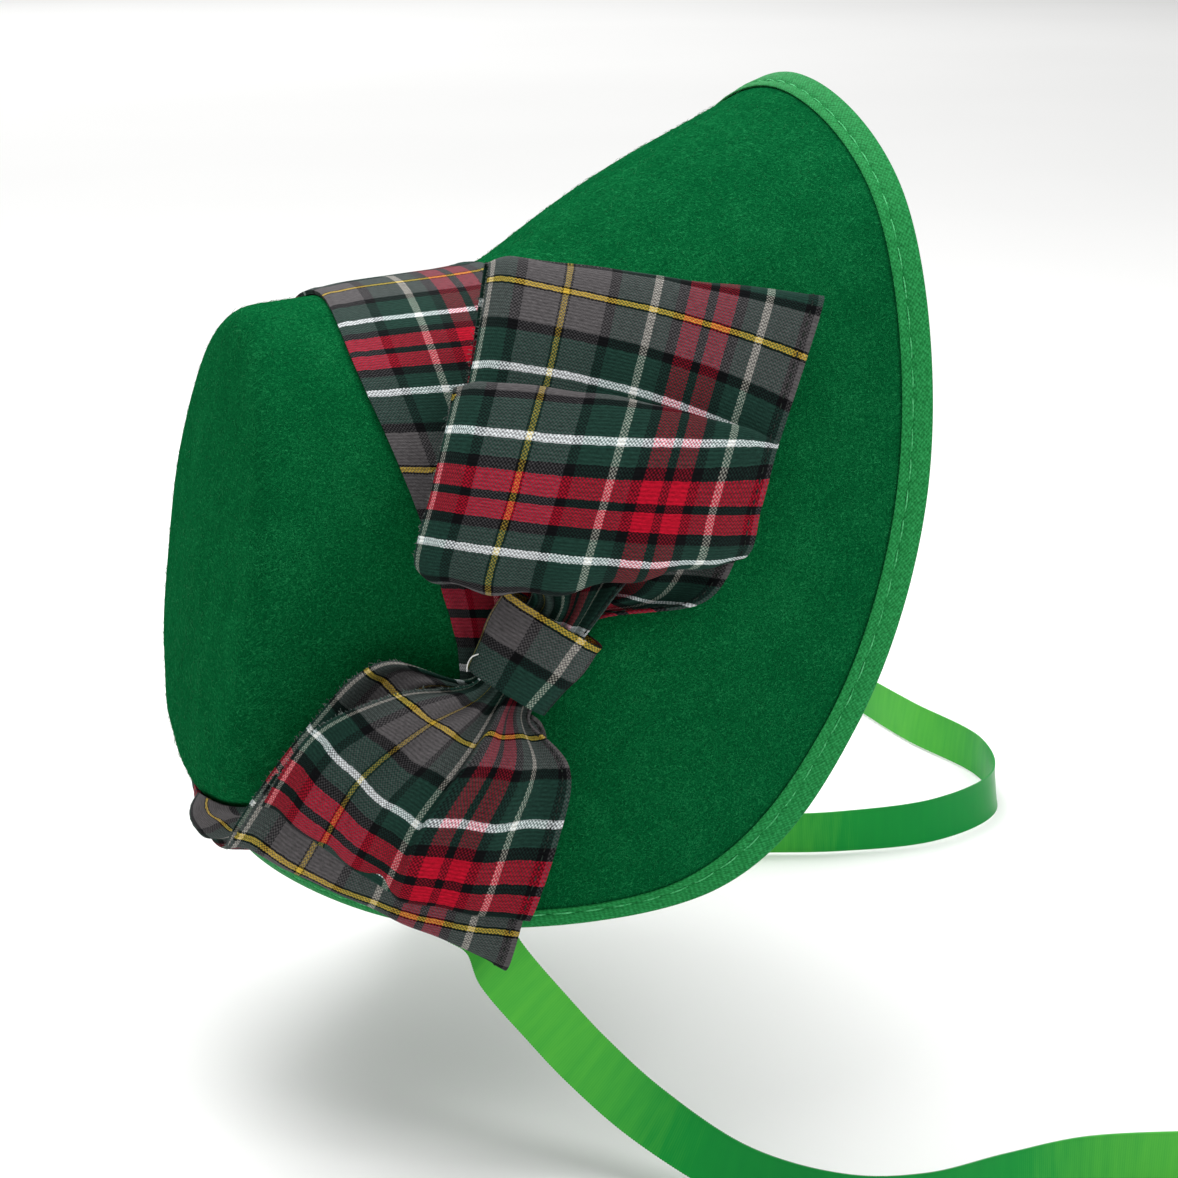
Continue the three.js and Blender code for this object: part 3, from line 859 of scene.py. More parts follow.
FELT = PressedWoolFelt()
TAPE = CottonBiasTape()
TARTAN = WovenTartan()
SATIN = PolyesterSatin()
PAPER = RolledPaper()
TAPE_THREAD = SpunThread("polyester_thread_spun_green", "binding", "#2a9350", "#5fc080")
HEM_THREAD = SpunThread("polyester_thread_spun_dark", "tartan", "#121513", "#2f3833")
LOOSE_THREAD = SpunThread("cotton_yarn_frayed", "tartan", "#1c2a25", "#6d7671")
PALE_THREAD = SpunThread("cotton_thread_spun_white", "tartan", "#c9ccc8", "#f4f4f0")
# The loose fibres are a lighter green than the felt: painted light on fibres that stand off it.
NAP = SpunThread("wool_fibre_loose", "felt", "#0b6a3a", "#1d7e48")


@dataclass
class Studio:
    """Camera at the photo's angle, soft lights and a pale floor."""

    target: Triple = (60.0, 0.0, -118.0)
    azimuth: float = -20.0
    elevation: float = 18.0
    distance: float = 850.0
    frame_pixels: float = 1178.0
    focal_pixels: float = 2295.0
    sensor: float = 36.0
    floor_height: float = -290.6
    floor_size: float = 16000.0
    clip: tuple[float, float] = (0.01, 100.0)
    sky: str = "#ffffff"
    sky_strength: float = 0.42
    # Name, place, side of its square and power of each soft light, in millimetres and watts.
    lights: tuple[tuple[str, Triple, float, float], ...] = (
        ("key", (900, -1100, 1300), 1000, 17.0),
        ("fill", (-500, -1600, 600), 1200, 2.0),
        ("crown", (-150, 250, 1400), 1200, 22.0),
        ("wash", (0, 4800, 3600), 6000, 200.0),
    )

    def build_camera(self) -> None:
        """Makes the camera."""
        turn, rise = math.radians(self.azimuth), math.radians(self.elevation)
        back = Vector((math.sin(turn) * math.cos(rise), -math.cos(turn) * math.cos(rise), math.sin(rise)))
        data = bpy.data.cameras.new("camera")
        data.sensor_width = self.sensor
        data.lens = self.sensor * self.focal_pixels / self.frame_pixels
        data.clip_start, data.clip_end = self.clip
        camera = bpy.data.objects.new("camera", data)
        camera.location = Vector(metres(np.array(self.target))) + back * self.distance * MM
        camera.rotation_mode = "QUATERNION"
        camera.rotation_quaternion = (-back).to_track_quat("-Z", "Y")
        bpy.context.scene.collection.objects.link(camera)
        bpy.context.scene.camera = camera

    def add_light(self, name: str, place: Triple, size: float, watts: float) -> None:
        """Adds one soft light that points at the bonnet.

        Args:
            name: Light name.
            place: Where it stands, in millimetres.
            size: Side of its square in millimetres.
            watts: Its power.
        """
        data = bpy.data.lights.new(name, "AREA")
        data.size = size * MM
        data.energy = watts
        light = bpy.data.objects.new(name, data)
        light.location = Vector(place) * MM
        aim = Vector(self.target) * MM - light.location
        light.rotation_euler = aim.to_track_quat("-Z", "Y").to_euler()
        bpy.context.scene.collection.objects.link(light)

    def build_room(self) -> None:
        """Makes the floor, the lights and the sky."""
        sides = np.array(((-1, -1), (1, -1), (1, 1), (-1, 1))) * self.floor_size / 2
        corners = np.hstack((sides, np.full((4, 1), self.floor_height)))
        floor = make_piece("studio_floor", corners, np.arange(4)[None], PAPER)
        for light in self.lights:
            self.add_light(*light)
        world = bpy.data.worlds.new("studio")
        world.use_nodes = True
        sky = world.node_tree.nodes["Background"]
        sky.inputs["Color"].default_value = linear(self.sky)
        sky.inputs["Strength"].default_value = self.sky_strength
        bpy.context.scene.world = world
        bpy.context.scene.view_settings.view_transform = "Standard"


@dataclass
class FeltForm:
    """Middle surface of the felt: a profile from the tip's centre to the rim, at any place round it."""

    thickness: float = 2.0
    tip_x: float = -79.5
    tip_z: float = -87.5
    tip_half_height: float = 81.5
    tip_half_width: float = 72.0
    tip_lean: float = 13.5
    tip_dome: float = 5.0
    tip_squareness: float = 0.68
    hem_width: float = 13.0
    hem_clear: float = 1.0
    brim_middle: float = 0.5
    trims: Triple = (9.0, 20.0, 200.0)
    longest_trim: float = 0.48
    arc_steps: tuple[int, int, int] = (12, 16, 24)

    def ring(self, value: Callable[[Station], Sequence[float]]) -> np.ndarray:
        """Takes a value at each station of the right side and mirrors it for the left.

        Args:
            value: What to take; its second number changes sign on the right.

        Returns:
            One row for each station all round.
        """
        rows = []
        for k in range(TURN):
            right = k < len(STATIONS)
            row = np.array(value(STATIONS[k if right else TURN - k]), dtype=float)
            if len(row) > 1:
                row[1] *= -1 if right else 1
            rows.append(row)
        return np.array(rows)

    def along_ring(self, name: str, places: np.ndarray) -> np.ndarray:
        """Reads one plain number of the stations at places round the bonnet, as a column."""
        return closed_curve(self.ring(lambda s: (getattr(s, name),)), places)

    def tip_point(self, station: Station) -> Triple:
        """Finds the tip's edge at a station.

        Args:
            station: The station.

        Returns:
            A point of the edge, on the left side.
        """
        turn = math.radians(station.tip_angle)
        up = math.cos(turn)
        out = math.sin(turn) ** (self.tip_squareness if up < 0 else 1.0)
        return (self.tip_x + self.tip_lean * up, self.tip_half_width * out,
                self.tip_z + self.tip_half_height * up)

    def profiles(self, places: np.ndarray) -> tuple[np.ndarray, int]:
        """Works out whole profiles.

        Args:
            places: Places round the bonnet, counted in stations from the top towards the right.

        Returns:
            One line of points for each place, and the number of the point in the middle of the junction.
        """
        step = 0.01
        junctions, rims = self.ring(lambda s: s.junction), self.ring(lambda s: s.rim)
        tip = closed_curve(self.ring(self.tip_point), places)
        junction, rim = closed_curve(junctions, places), closed_curve(rims, places)
        ways = [unit(closed_curve(r, places + step) - closed_curve(r, places - step))
                for r in (rims, junctions)]
        run = rim - junction
        outward = unit(np.cross(ways[0] + ways[1], run))
        share = np.minimum(self.brim_middle,
                           1 - (self.hem_width + self.hem_clear) / np.linalg.norm(run, axis=1))[:, None]
        brim = junction + run * share + outward * self.along_ring("bulge", places)
        hem = rim + unit(brim - rim) * self.hem_width
        pole = np.broadcast_to((self.tip_x - self.tip_dome, 0.0, self.tip_z), tip.shape)
        corners = (pole, tip, junction, brim, hem)
        parts = [pole[:, None]]
        for k, (trim, steps) in enumerate(zip(self.trims, self.arc_steps)):
            before, corner, after = corners[k:k + 3]
            ends = []
            for other in (before, after):
                way = other - corner
                length = np.linalg.norm(way, axis=1, keepdims=True)
                ends.append(corner + way / length * np.minimum(trim, self.longest_trim * length))
            w = np.linspace(0, 1, steps + 1)[None, :, None]
            first, turn, last = (point[:, None] for point in (ends[0], corner, ends[1]))
            parts.append((1 - w) ** 2 * first + 2 * w * (1 - w) * turn + w ** 2 * last)
        parts += [hem[:, None], rim[:, None]]
        return np.concatenate(parts, axis=1), 1 + self.arc_steps[0] + 1 + self.arc_steps[1] // 2

    def read(self, places: np.ndarray, reach: np.ndarray, datum: From) -> np.ndarray:
        """Reads points of the surface.

        Args:
            places: Places round the bonnet.
            reach: Distances along the profile, a row for each place.
            datum: Where the distances are measured from.

        Returns:
            A grid of points.
        """
        lines, middle = self.profiles(places)
        points = np.empty(reach.shape + (3,))
        for k, line in enumerate(lines):
            arc = arc_lengths(line)
            if datum is From.TIP:
                at = reach[k] * arc[-1]
            elif datum is From.JUNCTION:
                at = reach[k] + arc[middle]
            else:
                at = arc[-1] - reach[k]
            for axis in range(3):
                points[k, :, axis] = np.interp(at, arc, line[:, axis])
            points[k] += np.maximum(at - arc[-1], 0)[:, None] * unit(line[-1] - line[-2])
        return points

    def surface(self, places: np.ndarray, reach: np.ndarray, datum: From) -> tuple[np.ndarray, np.ndarray]:
        """Reads points and outward normals of the surface.

        Args:
            places: Places round the bonnet.
            reach: Distances along the profile, a row for each place.
            datum: Where the distances are measured from.

        Returns:
            A grid of points and a grid of normals.
        """
        step = 0.02
        nudge = 0.002 if datum is From.TIP else 0.4
        nudge *= -1 if datum is From.RIM else 1
        round_way = self.read(places + step, reach, datum) - self.read(places - step, reach, datum)
        out_way = self.read(places, reach + nudge, datum) - self.read(places, reach - nudge, datum)
        return self.read(places, reach, datum), unit(np.cross(round_way, out_way))


@dataclass
class FeltShell:
    """Crown and brim blocked in one from wool felt, with its loose nap."""

    form: FeltForm
    round_steps: int = 240
    profile_steps: int = 150
    dent: float = 0.25
    nap_count: int = 8200
    nap_length: float = 2.2
    nap_radius: float = 0.07
    nap_clear: float = 2.0
    nap_curl: float = 0.35
    nap_rise: tuple[float, float] = (0.06, 0.22)
    # Points of a fibre from its root: shares of its length along, of its curl aside and of its rise.
    nap_points: tuple[Triple, ...] = (
        (0.0, 0.0, -0.1), (0.35, 0.4, 0.8), (0.7, 0.5, 1.0), (1.0, 0.1, 0.7))
    nap_taper: tuple[float, ...] = (1.0, 0.9, 0.7, 0.3)
    nap_sides: int = 3

    def build(self) -> None:
        """Makes the shell and its nap."""
        places = np.linspace(0, TURN, self.round_steps, endpoint=False)
        shares = np.linspace(0, 1, self.profile_steps)
        reach = np.tile(shares, (self.round_steps, 1))
        points, normals = self.form.surface(places, reach, From.TIP)
        normals[:, 0] = unit(np.array((-1.0, 0.0, self.form.tip_lean / self.form.tip_half_height)))
        turn = places[:, None] * 2 * math.pi / TURN
        # Slow waves round and along the felt, out of step with each other, so that no dent repeats.
        waves = np.sin(3 * turn + 9 * shares + 0.4) * np.sin(11 * shares + 1.1)
        waves += 0.6 * np.sin(7 * turn - 14 * shares)
        points = points + normals * (self.dent * waves * shares * (1 - shares) * 4)[:, :, None]
        offset = normals * (self.form.thickness / 2)
        faces = sheet_faces(self.round_steps, self.profile_steps, closed=True)
        make_piece("felt_shell_blocked", both_faces(points, offset), faces, FELT, "felt_shell")
        self.build_nap(points + offset, normals, self.bare(places, shares))

    def bare(self, places: np.ndarray, shares: np.ndarray) -> np.ndarray:
        """Tells where neither the band nor the binding covers the felt.

        Args:
            places: Places round the bonnet.
            shares: Shares of the way from the tip to the rim.

        Returns:
            A grid of true and false.
        """
        lines, middle = self.form.profiles(places)
        arcs = np.array([arc_lengths(line) for line in lines])
        from_junction = shares * arcs[:, -1:] - arcs[:, middle, None]
        to_rim = (1 - shares) * arcs[:, -1:]
        back, front, binding = (self.form.along_ring(name, places)
                                for name in ("band_back", "band_front", "binding"))
        beside_band = (from_junction < back - self.nap_clear) | (from_junction > front + self.nap_clear)
        return beside_band & (to_rim > binding + self.nap_clear)

    def build_nap(self, outer: np.ndarray, normals: np.ndarray, bare: np.ndarray) -> None:
        """Makes loose fibres that stand a little off the felt.

        Args:
            outer: Grid of points on the felt's outer face.
            normals: Normal at each point.
            bare: Which points are not covered.
        """
        chance = np.random.default_rng(SEED)
        steps = np.linalg.norm(np.diff(np.vstack((outer, outer[:1])), axis=0), axis=2)
        steps = (steps * bare).ravel()
        chosen = chance.choice(steps.size, self.nap_count, p=steps / steps.sum())
        rows, columns = np.unravel_index(chosen, outer.shape[:2])
        w = chance.random((self.nap_count, 1))
        roots = outer[rows, columns] * (1 - w) + outer[(rows + 1) % len(outer), columns] * w
        up = normals[rows, columns]
        lay = unit(np.cross(up, chance.normal(size=up.shape)))
        side = np.cross(up, lay) * chance.normal(scale=self.nap_curl, size=(self.nap_count, 1))
        length = self.nap_length * (0.5 + chance.random((self.nap_count, 1)))
        low, high = self.nap_rise
        rise = low + (high - low) * chance.random((self.nap_count, 1))
        paths = np.stack([roots + length * (along * lay + aside * side + over * rise * up)
                          for along, aside, over in self.nap_points], axis=1)
        make_threads("felt_nap", paths, up, self.nap_radius * np.array(self.nap_taper), self.nap_sides, NAP)


@dataclass
class BrimBinding:
    """Bias tape folded over the brim's edge and sewn through with one row of running stitch."""

    form: FeltForm
    gap: float = 0.35
    thickness: float = 0.8
    round_steps: int = 840
    stitch_share: float = 0.64
    stitch_pitch: float = 10.0
    stitch_length: float = 7.4
    stitch_radius: float = 0.3
    stitch_rise: float = 0.35
    stitch_points: int = 9
    stitch_sides: int = 6
    groove: float = 0.5
    pucker: float = 0.18
    pucker_spread: float = 0.25
    # Height, as a share of the pucker, and pace of the slow wave along the tape.
    slow_wave: tuple[float, float] = (0.8, 11.0)
    line_steps: int = 1200
    normal_reach: float = 0.5

    def build(self) -> None:
        """Makes the tape and its stitches."""
        places = np.linspace(0, TURN, self.round_steps + 1)
        inside = self.form.thickness / 2 + self.gap
        top = inside + self.thickness
        lip = self.gap + self.thickness
        # Across the tape: share of the way from the rim to its edge, past the rim in millimetres, and height.
        arm = [(1.0, 0, inside), (1.01, 0, top - 0.3), (0.96, 0, top), (0.89, 0, top - 0.05)]
        groove = ((0.07, top), (0.0, top - self.groove), (-0.07, top))
        arm += [(self.stitch_share + aside, 0, height) for aside, height in groove]
        arm += [(0.45, 0, top + 0.15), (0.28, 0, top + 0.15), (0.12, 0, top), (0.0, 0.2, top - 0.1)]
        arm += [(0.0, lip * 0.75, 0.62 * top), (0.0, lip, 0.0)]
        back = [(share, past, -height) for share, past, height in reversed(arm[:-1])]
        inner = [(0.0, self.gap, -inside), (0.0, self.gap, inside)]
        section = np.array(arm + back + inner)
        width = self.form.along_ring("binding", places)
        points, normals = self.form.surface(places, width * section[:, 0], From.RIM)
        rim = self.form.read(places, np.zeros((len(places), 1)), From.RIM)[:, 0]
        way = unit(np.gradient(rim, axis=0))
        _, rim_normals = self.form.surface(places, np.full((len(places), 1), self.normal_reach), From.RIM)
        ahead = unit(np.cross(rim_normals[:, 0], way))
        arc = arc_lengths(rim)
        share, pace = self.slow_wave
        ripple = np.sin(2 * math.pi * arc / self.stitch_pitch) + share * np.sin(arc / pace)
        near = np.exp(-((section[:, 0] - self.stitch_share) / self.pucker_spread) ** 2)
        height = section[:, 2] + np.sign(section[:, 2]) * self.pucker * ripple[:, None] * near
        body = points + normals * height[:, :, None]
        body += ahead[:, None, :] * section[None, :, 1, None]
        rows, columns = body.shape[:2]
        index = np.arange(rows * columns).reshape(rows, columns)
        here, after = index[:-1], index[1:]
        faces = quads(here, after, np.roll(after, -1, axis=1), np.roll(here, -1, axis=1))
        wide = float(np.mean(width))
        cloth = cloth_map(arc_lengths(section * (wide, 1.0, 1.0)), arc[:, None])
        tape = make_piece("brim_binding_tape", body.reshape(-1, 3), faces, TAPE, "brim_binding",
                          cloth.reshape(-1, 2))
        stitches = self.build_stitches(arc[-1], top)

    def build_stitches(self, length: float, top: float) -> bpy.types.Object:
        """Makes the running stitch on both faces.

        Args:
            length: Length of the rim in millimetres.
            top: Height of the tape's face over the felt's middle.

        Returns:
            The stitches as one piece.
        """
        count = int(length / self.stitch_pitch)
        fine = np.linspace(0, TURN, self.line_steps)
        line = self.form.read(fine, self.form.along_ring("binding", fine) * self.stitch_share, From.RIM)[:, 0]
        arc = arc_lengths(line)
        starts = np.arange(count) * arc[-1] / count
        shares = np.linspace(-0.5, 0.5, self.stitch_points)
        paths, ups = [], []
        for face, shift in ((1, 0.0), (-1, self.stitch_pitch / 2)):
            at = (starts[:, None] + shift + shares * self.stitch_length) % arc[-1]
            places = np.interp(at.ravel(), arc, fine)
            reach = self.form.along_ring("binding", places) * self.stitch_share
            points, normals = self.form.surface(places, reach, From.RIM)
            lift = top - self.groove + self.stitch_rise * np.tile(np.cos(shares * math.pi), count)
            path = points[:, 0] + face * normals[:, 0] * lift[:, None]
            paths.append(path.reshape(count, shares.size, 3))
            ups.append(face * normals[:, 0].reshape(count, shares.size, 3)[:, shares.size // 2])
        radii = self.stitch_radius * (0.5 + 0.5 * np.cos(shares * math.pi) ** 0.5)
        return make_threads("brim_binding_stitches", np.concatenate(paths), np.concatenate(ups), radii,
                            self.stitch_sides, TAPE_THREAD)


@dataclass
class HatBand:
    """Tartan strip round the crown: flat over the top, pleated narrow towards the knot and the nape."""

    form: FeltForm
    gap: float = 0.35
    thickness: float = 0.8
    round_steps: int = 420
    columns: int = 44
    cloth_width: float = 61.0
    cloth_edge: float = 1.4
    cloth_start: float = -5.0
    seam: float = 7.0
    pleats: float = 2.6
    pleat_drift: float = 0.35
    pleat_pace: float = 1.3
    crease: float = 0.15
    spare: float = 1.05
    turned_edge: float = 0.7
    turned_width: float = 4.0
    slack: float = 8.5
    slack_place: float = 5.4
    slack_spread: float = 0.35
    least_height: float = 2.2
    seam_taper: float = 14.0
    seam_spread: float = 0.62

    def build(self) -> None:
        """Makes the band."""
        places = np.linspace(self.seam - TURN, self.seam, self.round_steps)
        back, front, lift, pleat = (self.form.along_ring(name, places)
                                    for name in ("band_back", "band_front", "band_lift", "band_pleat"))
        from_seam = np.minimum(self.seam - places, places - places[0])[:, None]
        back = back + self.seam_taper * np.exp(-(from_seam / self.seam_spread) ** 2)
        shares = np.linspace(0, 1, self.columns)[None, :]
        points, normals = self.form.surface(places, back + (front - back) * shares, From.JUNCTION)
        at = places[:, None]
        drift = self.pleat_drift * np.sin(at * self.pleat_pace)
        wave = 0.5 + 0.5 * np.cos(2 * math.pi * (self.pleats * shares + drift))
        # Two waves at a slant to each other break the creases up.
        creases = self.crease * np.sin(at * 9.0 + 4 * shares) * np.sin(at * 23.0 - 3 * shares)
        from_edge = np.minimum(shares, 1 - shares) * (front - back)
        turned = self.turned_edge * np.exp(-(from_edge / self.turned_width) ** 4)
        lift = lift + self.slack * np.exp(-((at - self.slack_place) / self.slack_spread) ** 2)
        loose = lift * (1 - (2 * shares - 1) ** 6) + pleat * wave * (1 - (2 * shares - 1) ** 8)
        height = (self.form.thickness + self.thickness + turned) / 2 + self.gap + loose + creases
        middle = points + normals * np.maximum(height, self.least_height)[:, :, None]
        arc = arc_lengths(middle[:, self.columns // 2])
        along = arc - np.interp(0.0, places, arc) + self.cloth_start
        cloth = cloth_map(shares * self.cloth_width + self.cloth_edge, along[:, None])
        band = make_sheet("hat_band_tartan", middle, grid_normals(middle), self.thickness + turned,
                          TARTAN, "hat_band", cloth)


@dataclass
class Bow:
    """Tartan bow: two folded loops gathered into a sleeve, with a sewn hem and a frayed selvedge."""

    center: Triple = (0.6, -108.8, -99.7)
    across: Triple = (0.788, -0.282, -0.548)
    along: Triple = (0.552, -0.074, 0.832)
    half_width: float = 17.0
    half_depth: float = 7.2
    half_length: float = 14.0
    squareness: float = 3.0
    knot_taper: float = 2.0
    neck_half_width: float = 10.8
    neck_layer: float = 2.9
    neck_start: float = 1.5
    neck_past: float = 3.5
    neck_pleat: float = 1.2
    thickness: float = 0.75
    strip_width: float = 111.4
    upper_length: float = 365.0
    lower_length: float = 235.0
    cloth_width: float = 108.1
    cloth_left: float = -26.2
    curl: float = 2.5
    curl_share: float = 0.07
    curl_cloth: float = 5.5
    steps: int = 18
    columns: int = 120
    pleats: float = 4.5
    # How far the pleats wander, how fast, and where they start.
    pleat_drift: Triple = (0.18, 0.9, 0.7)
    # Height, pace across and pace along of the waves in the slack cloth.
    ease_waves: tuple[Triple, ...] = ((0.35, 7.0, 1.7), (0.25, 15.0, -2.3))
    ease_rise: float = 4.0
    crease: float = 0.6
    crease_share: float = 0.57
    lap: float = 5.0
    lap_share: float = 0.55
    lap_pleat: float = 2.8
    lap_shift: float = 7.0
    lap_under: float = 0.06
    lap_return: float = 0.08
    lap_from: float = 0.1
    lap_edge: float = 0.008
    lap_calm: float = 0.5
    hem_width: float = 4.6
    hem_rise: float = 0.55
    hem_edge: float = 0.25
    stitch_pitch: float = 3.4
    stitch_length: float = 2.2
    stitch_radius: float = 0.24
    stitch_share: float = 0.75
    stitch_sunk: float = 0.1
    stitch_rise: float = 0.22
    stitch_taper: tuple[float, ...] = (0.5, 0.95, 1.0, 0.95, 0.5)
    stitch_sides: int = 5
    fray_per_mm: float = 1.3
    fray_clear: float = 2.5
    fray_root: float = 0.6
    fray_reach: tuple[float, float] = (0.4, 1.9)
    fray_bend: float = 0.45
    # Middle and end of a loose thread: shares of its reach out, of its bend aside and of its bend up.
    fray_points: tuple[Triple, ...] = ((0.55, 0.3, 0.15), (1.0, 1.0, 0.5))
    fray_radii: tuple[float, ...] = (0.14, 0.12, 0.06)
    fray_sides: int = 4
    sleeve_steps: tuple[int, int] = (121, 41)
    # Place of the sleeve's outer middle and of its upper edge on the flat cloth.
    sleeve_cloth: tuple[float, float] = (18.7, -1.5)
    sleeve_turned: float = 0.8
    # End of the sewing thread beside the knot: across, along and out from the knot's centre.
    tail: tuple[Triple, ...] = (
        (-14.4, -8.0, 4.2), (-15.6, -10.0, 3.4), (-15.4, -13.0, 3.0), (-14.4, -15.0, 3.4))
    tail_radius: float = 0.2
    tail_steps: int = 14
    tail_sides: int = 6

    def axes(self) -> tuple[np.ndarray, np.ndarray, np.ndarray]:
        """Gives the bow's directions: across the knot, along the bow and out from the hat."""
        across, along = unit(np.array(self.across)), unit(np.array(self.along))
        return across, along, unit(np.cross(across, along))

    def point(self, across: np.ndarray, along: np.ndarray, out: np.ndarray) -> np.ndarray:
        """Places points by their distances from the knot's centre in the bow's directions.

        Args:
            across: Distances across the knot.
            along: Distances along the bow, towards the upper loop.
            out: Distances out from the hat.

        Returns:
            Points, in the shape that the three make together.
        """
        ways = self.axes()
        parts = np.broadcast_arrays(*(np.asarray(v, dtype=float) for v in (across, along, out)))
        return np.array(self.center) + sum(p[..., None] * way for p, way in zip(parts, ways))

    def neck(self, loop: Loop, out: float, cloth: tuple[float, float],
             inner_cloth: tuple[float, float]) -> list[Fold]:
        """Gives the two rows where a layer of the strip lies inside the knot.

        Args:
            loop: Which loop.
            out: Height of the layer in the knot.
            cloth: Place along the cloth at the knot's mouth, rear and fore.
            inner_cloth: The same inside the knot.

        Returns:
            The inner row, then the row at the knot's mouth.
        """
        rows = []
        for reach, marks in ((self.neck_start, inner_cloth), (self.half_length + self.neck_past, cloth)):
            ends = [tuple(self.point(s * self.neck_half_width, loop.value * reach, out)) for s in (-1, 1)]
            rows.append(Fold(ends[0], ends[1], 0, 0, self.neck_pleat, *marks))
        return rows

    def strip(self, loop: Loop) -> list[Fold]:
        """Lists all the rows of one loop's strip.

        Args:
            loop: Which loop.

        Returns:
            Rows from its back layer in the knot round to its front layer there.
        """
        folds, back, front = STRIPS[loop]
        front_rows = self.neck(loop, self.neck_layer, *front)
        return [*self.neck(loop, -self.neck_layer, *back), *folds, *front_rows[::-1]]

    def grid(self, loop: Loop) -> tuple[np.ndarray, np.ndarray]:
        """Works out one loop's cloth.

        Args:
            loop: Which loop.

        Returns:
            A grid of points along and across the strip, and each point's place on the flat cloth.
        """
        rows = self.strip(loop)
        places = np.linspace(0, len(rows) - 1, (len(rows) - 1) * self.steps + 1)
        shares = np.linspace(0, 1, self.columns)[None, :, None]
        rear = open_curve(np.array([r.rear for r in rows], dtype=float), places)[:, None]
        fore = open_curve(np.array([r.fore for r in rows], dtype=float), places)[:, None]
        names = ("bulge", "sag", "pleat", "cloth_rear", "cloth_fore", "cloth_dip", "arch", "cloth_arch")
        values = np.array([[getattr(r, name) for name in names] for r in rows], dtype=float)
        bulge, sag, pleat, cloth_rear, cloth_fore, dip, arch, cloth_arch = (
            column[:, None] for column in open_curve(values, places, even=True).T)
        _, along, out = self.axes()
        # Both humps rise to 1: one in the middle, the skewed one a third of the way across.
        hump = 4 * shares * (1 - shares)
        skewed = 6.75 * shares * (1 - shares) ** 2
        tent = np.minimum(shares / self.crease_share, (1 - shares) / (1 - self.crease_share))
        drop = hump + self.crease * (tent - hump) if loop is Loop.LOWER else skewed
        grid = rear + (fore - rear) * shares + hump * bulge[..., None] * out
        grid = grid + (drop * sag[..., None] + hump * arch[..., None]) * loop.value * along
        flat, hump, skewed = shares[:, :, 0], hump[:, :, 0], skewed[:, :, 0]
        at = places[:, None]
        front = (at > len(rows) / 2) * np.clip(pleat / self.lap_pleat, 0, 1) * (loop is Loop.LOWER)
        past = 1 / (1 + np.exp(-(flat - self.lap_share) / self.lap_edge))
        swell = np.clip((flat - self.lap_from) / (self.lap_share - self.lap_from), 0, 1) ** 2
        lap = front * self.lap * swell * (1 - past)
        drift, pace, start = self.pleat_drift
        fan = np.sin(2 * math.pi * (self.pleats * flat + drift * np.sin(at * pace)) + start)
        ease = sum(high * np.sin(wide * flat + long * at) for high, wide, long in self.ease_waves)
        soft = np.clip(pleat, 0, None) * fan * (1 - self.lap_calm * front)
        soft = soft + lap + ease * np.minimum(1.0, self.ease_rise * hump)
        edge = np.clip(1 - flat / self.curl_share, 0, 1)
        soft = soft - self.curl * edge ** 2
        under = self.lap_under * front * past * np.exp((self.lap_share - flat) / self.lap_return)
        grid = grid + grid_normals(grid) * soft[:, :, None] - (fore - rear) * under[:, :, None]
        across_cloth = flat * self.cloth_width + self.cloth_left - self.curl_cloth * edge
        along_cloth = cloth_rear + (cloth_fore - cloth_rear) * flat + dip * skewed + cloth_arch * hump
        return grid, cloth_map(across_cloth, along_cloth + self.lap_shift * front * past)

    def build_loop(self, loop: Loop, node: str) -> None:
        """Makes one loop with its hem stitches and frayed selvedge.

        Args:
            loop: Which loop.
            node: Node that it stands for.
        """
        grid, cloth = self.grid(loop)
        normals = grid_normals(grid)
        from_fore = (1 - np.linspace(0, 1, self.columns)) * self.cloth_width
        hem = self.hem_rise / (1 + np.exp((from_fore - self.hem_width) / self.hem_edge))
        cloth_piece = make_sheet(f"{node}_tartan", grid, normals, self.thickness + hem[None, :],
                                 TARTAN, node, cloth)
        stitches = self.build_hem_stitches(f"{node}_hem_stitches", grid, normals)
        fray = self.build_fray(f"{node}_fray", grid, normals)

    def build_hem_stitches(self, name: str, grid: np.ndarray, normals: np.ndarray) -> bpy.types.Object:
        """Makes the stitches along the hem of one loop, on both faces.

        Args:
            name: Piece name.
            grid: The loop's grid.
            normals: Its normals.

        Returns:
            The stitches as one piece.
        """
        from_fore = self.stitch_share * self.hem_width / self.cloth_width
        column = round((1 - from_fore) * (self.columns - 1))
        line = np.hstack((grid[:, column], normals[:, column]))
        length = arc_lengths(line[:, :3])[-1]
        count = int(length / self.stitch_pitch)
        taper = np.array(self.stitch_taper)
        shares = np.linspace(-0.5, 0.5, taper.size)
        sunk = (self.thickness + self.hem_rise) / 2 - self.stitch_sunk
        paths, ups = [], []
        for face in (1, -1):
            at = (np.arange(count)[:, None] + 0.5) * self.stitch_pitch + shares * self.stitch_length
            read = evenly(line, at.ravel())
            up = face * unit(read[:, 3:])
            lift = sunk + self.stitch_rise * np.tile(np.cos(shares * math.pi), count)
            paths.append((read[:, :3] + up * lift[:, None]).reshape(count, taper.size, 3))
            ups.append(up.reshape(count, taper.size, 3)[:, taper.size // 2])
        return make_threads(name, np.concatenate(paths), np.concatenate(ups), self.stitch_radius * taper,
                            self.stitch_sides, HEM_THREAD)

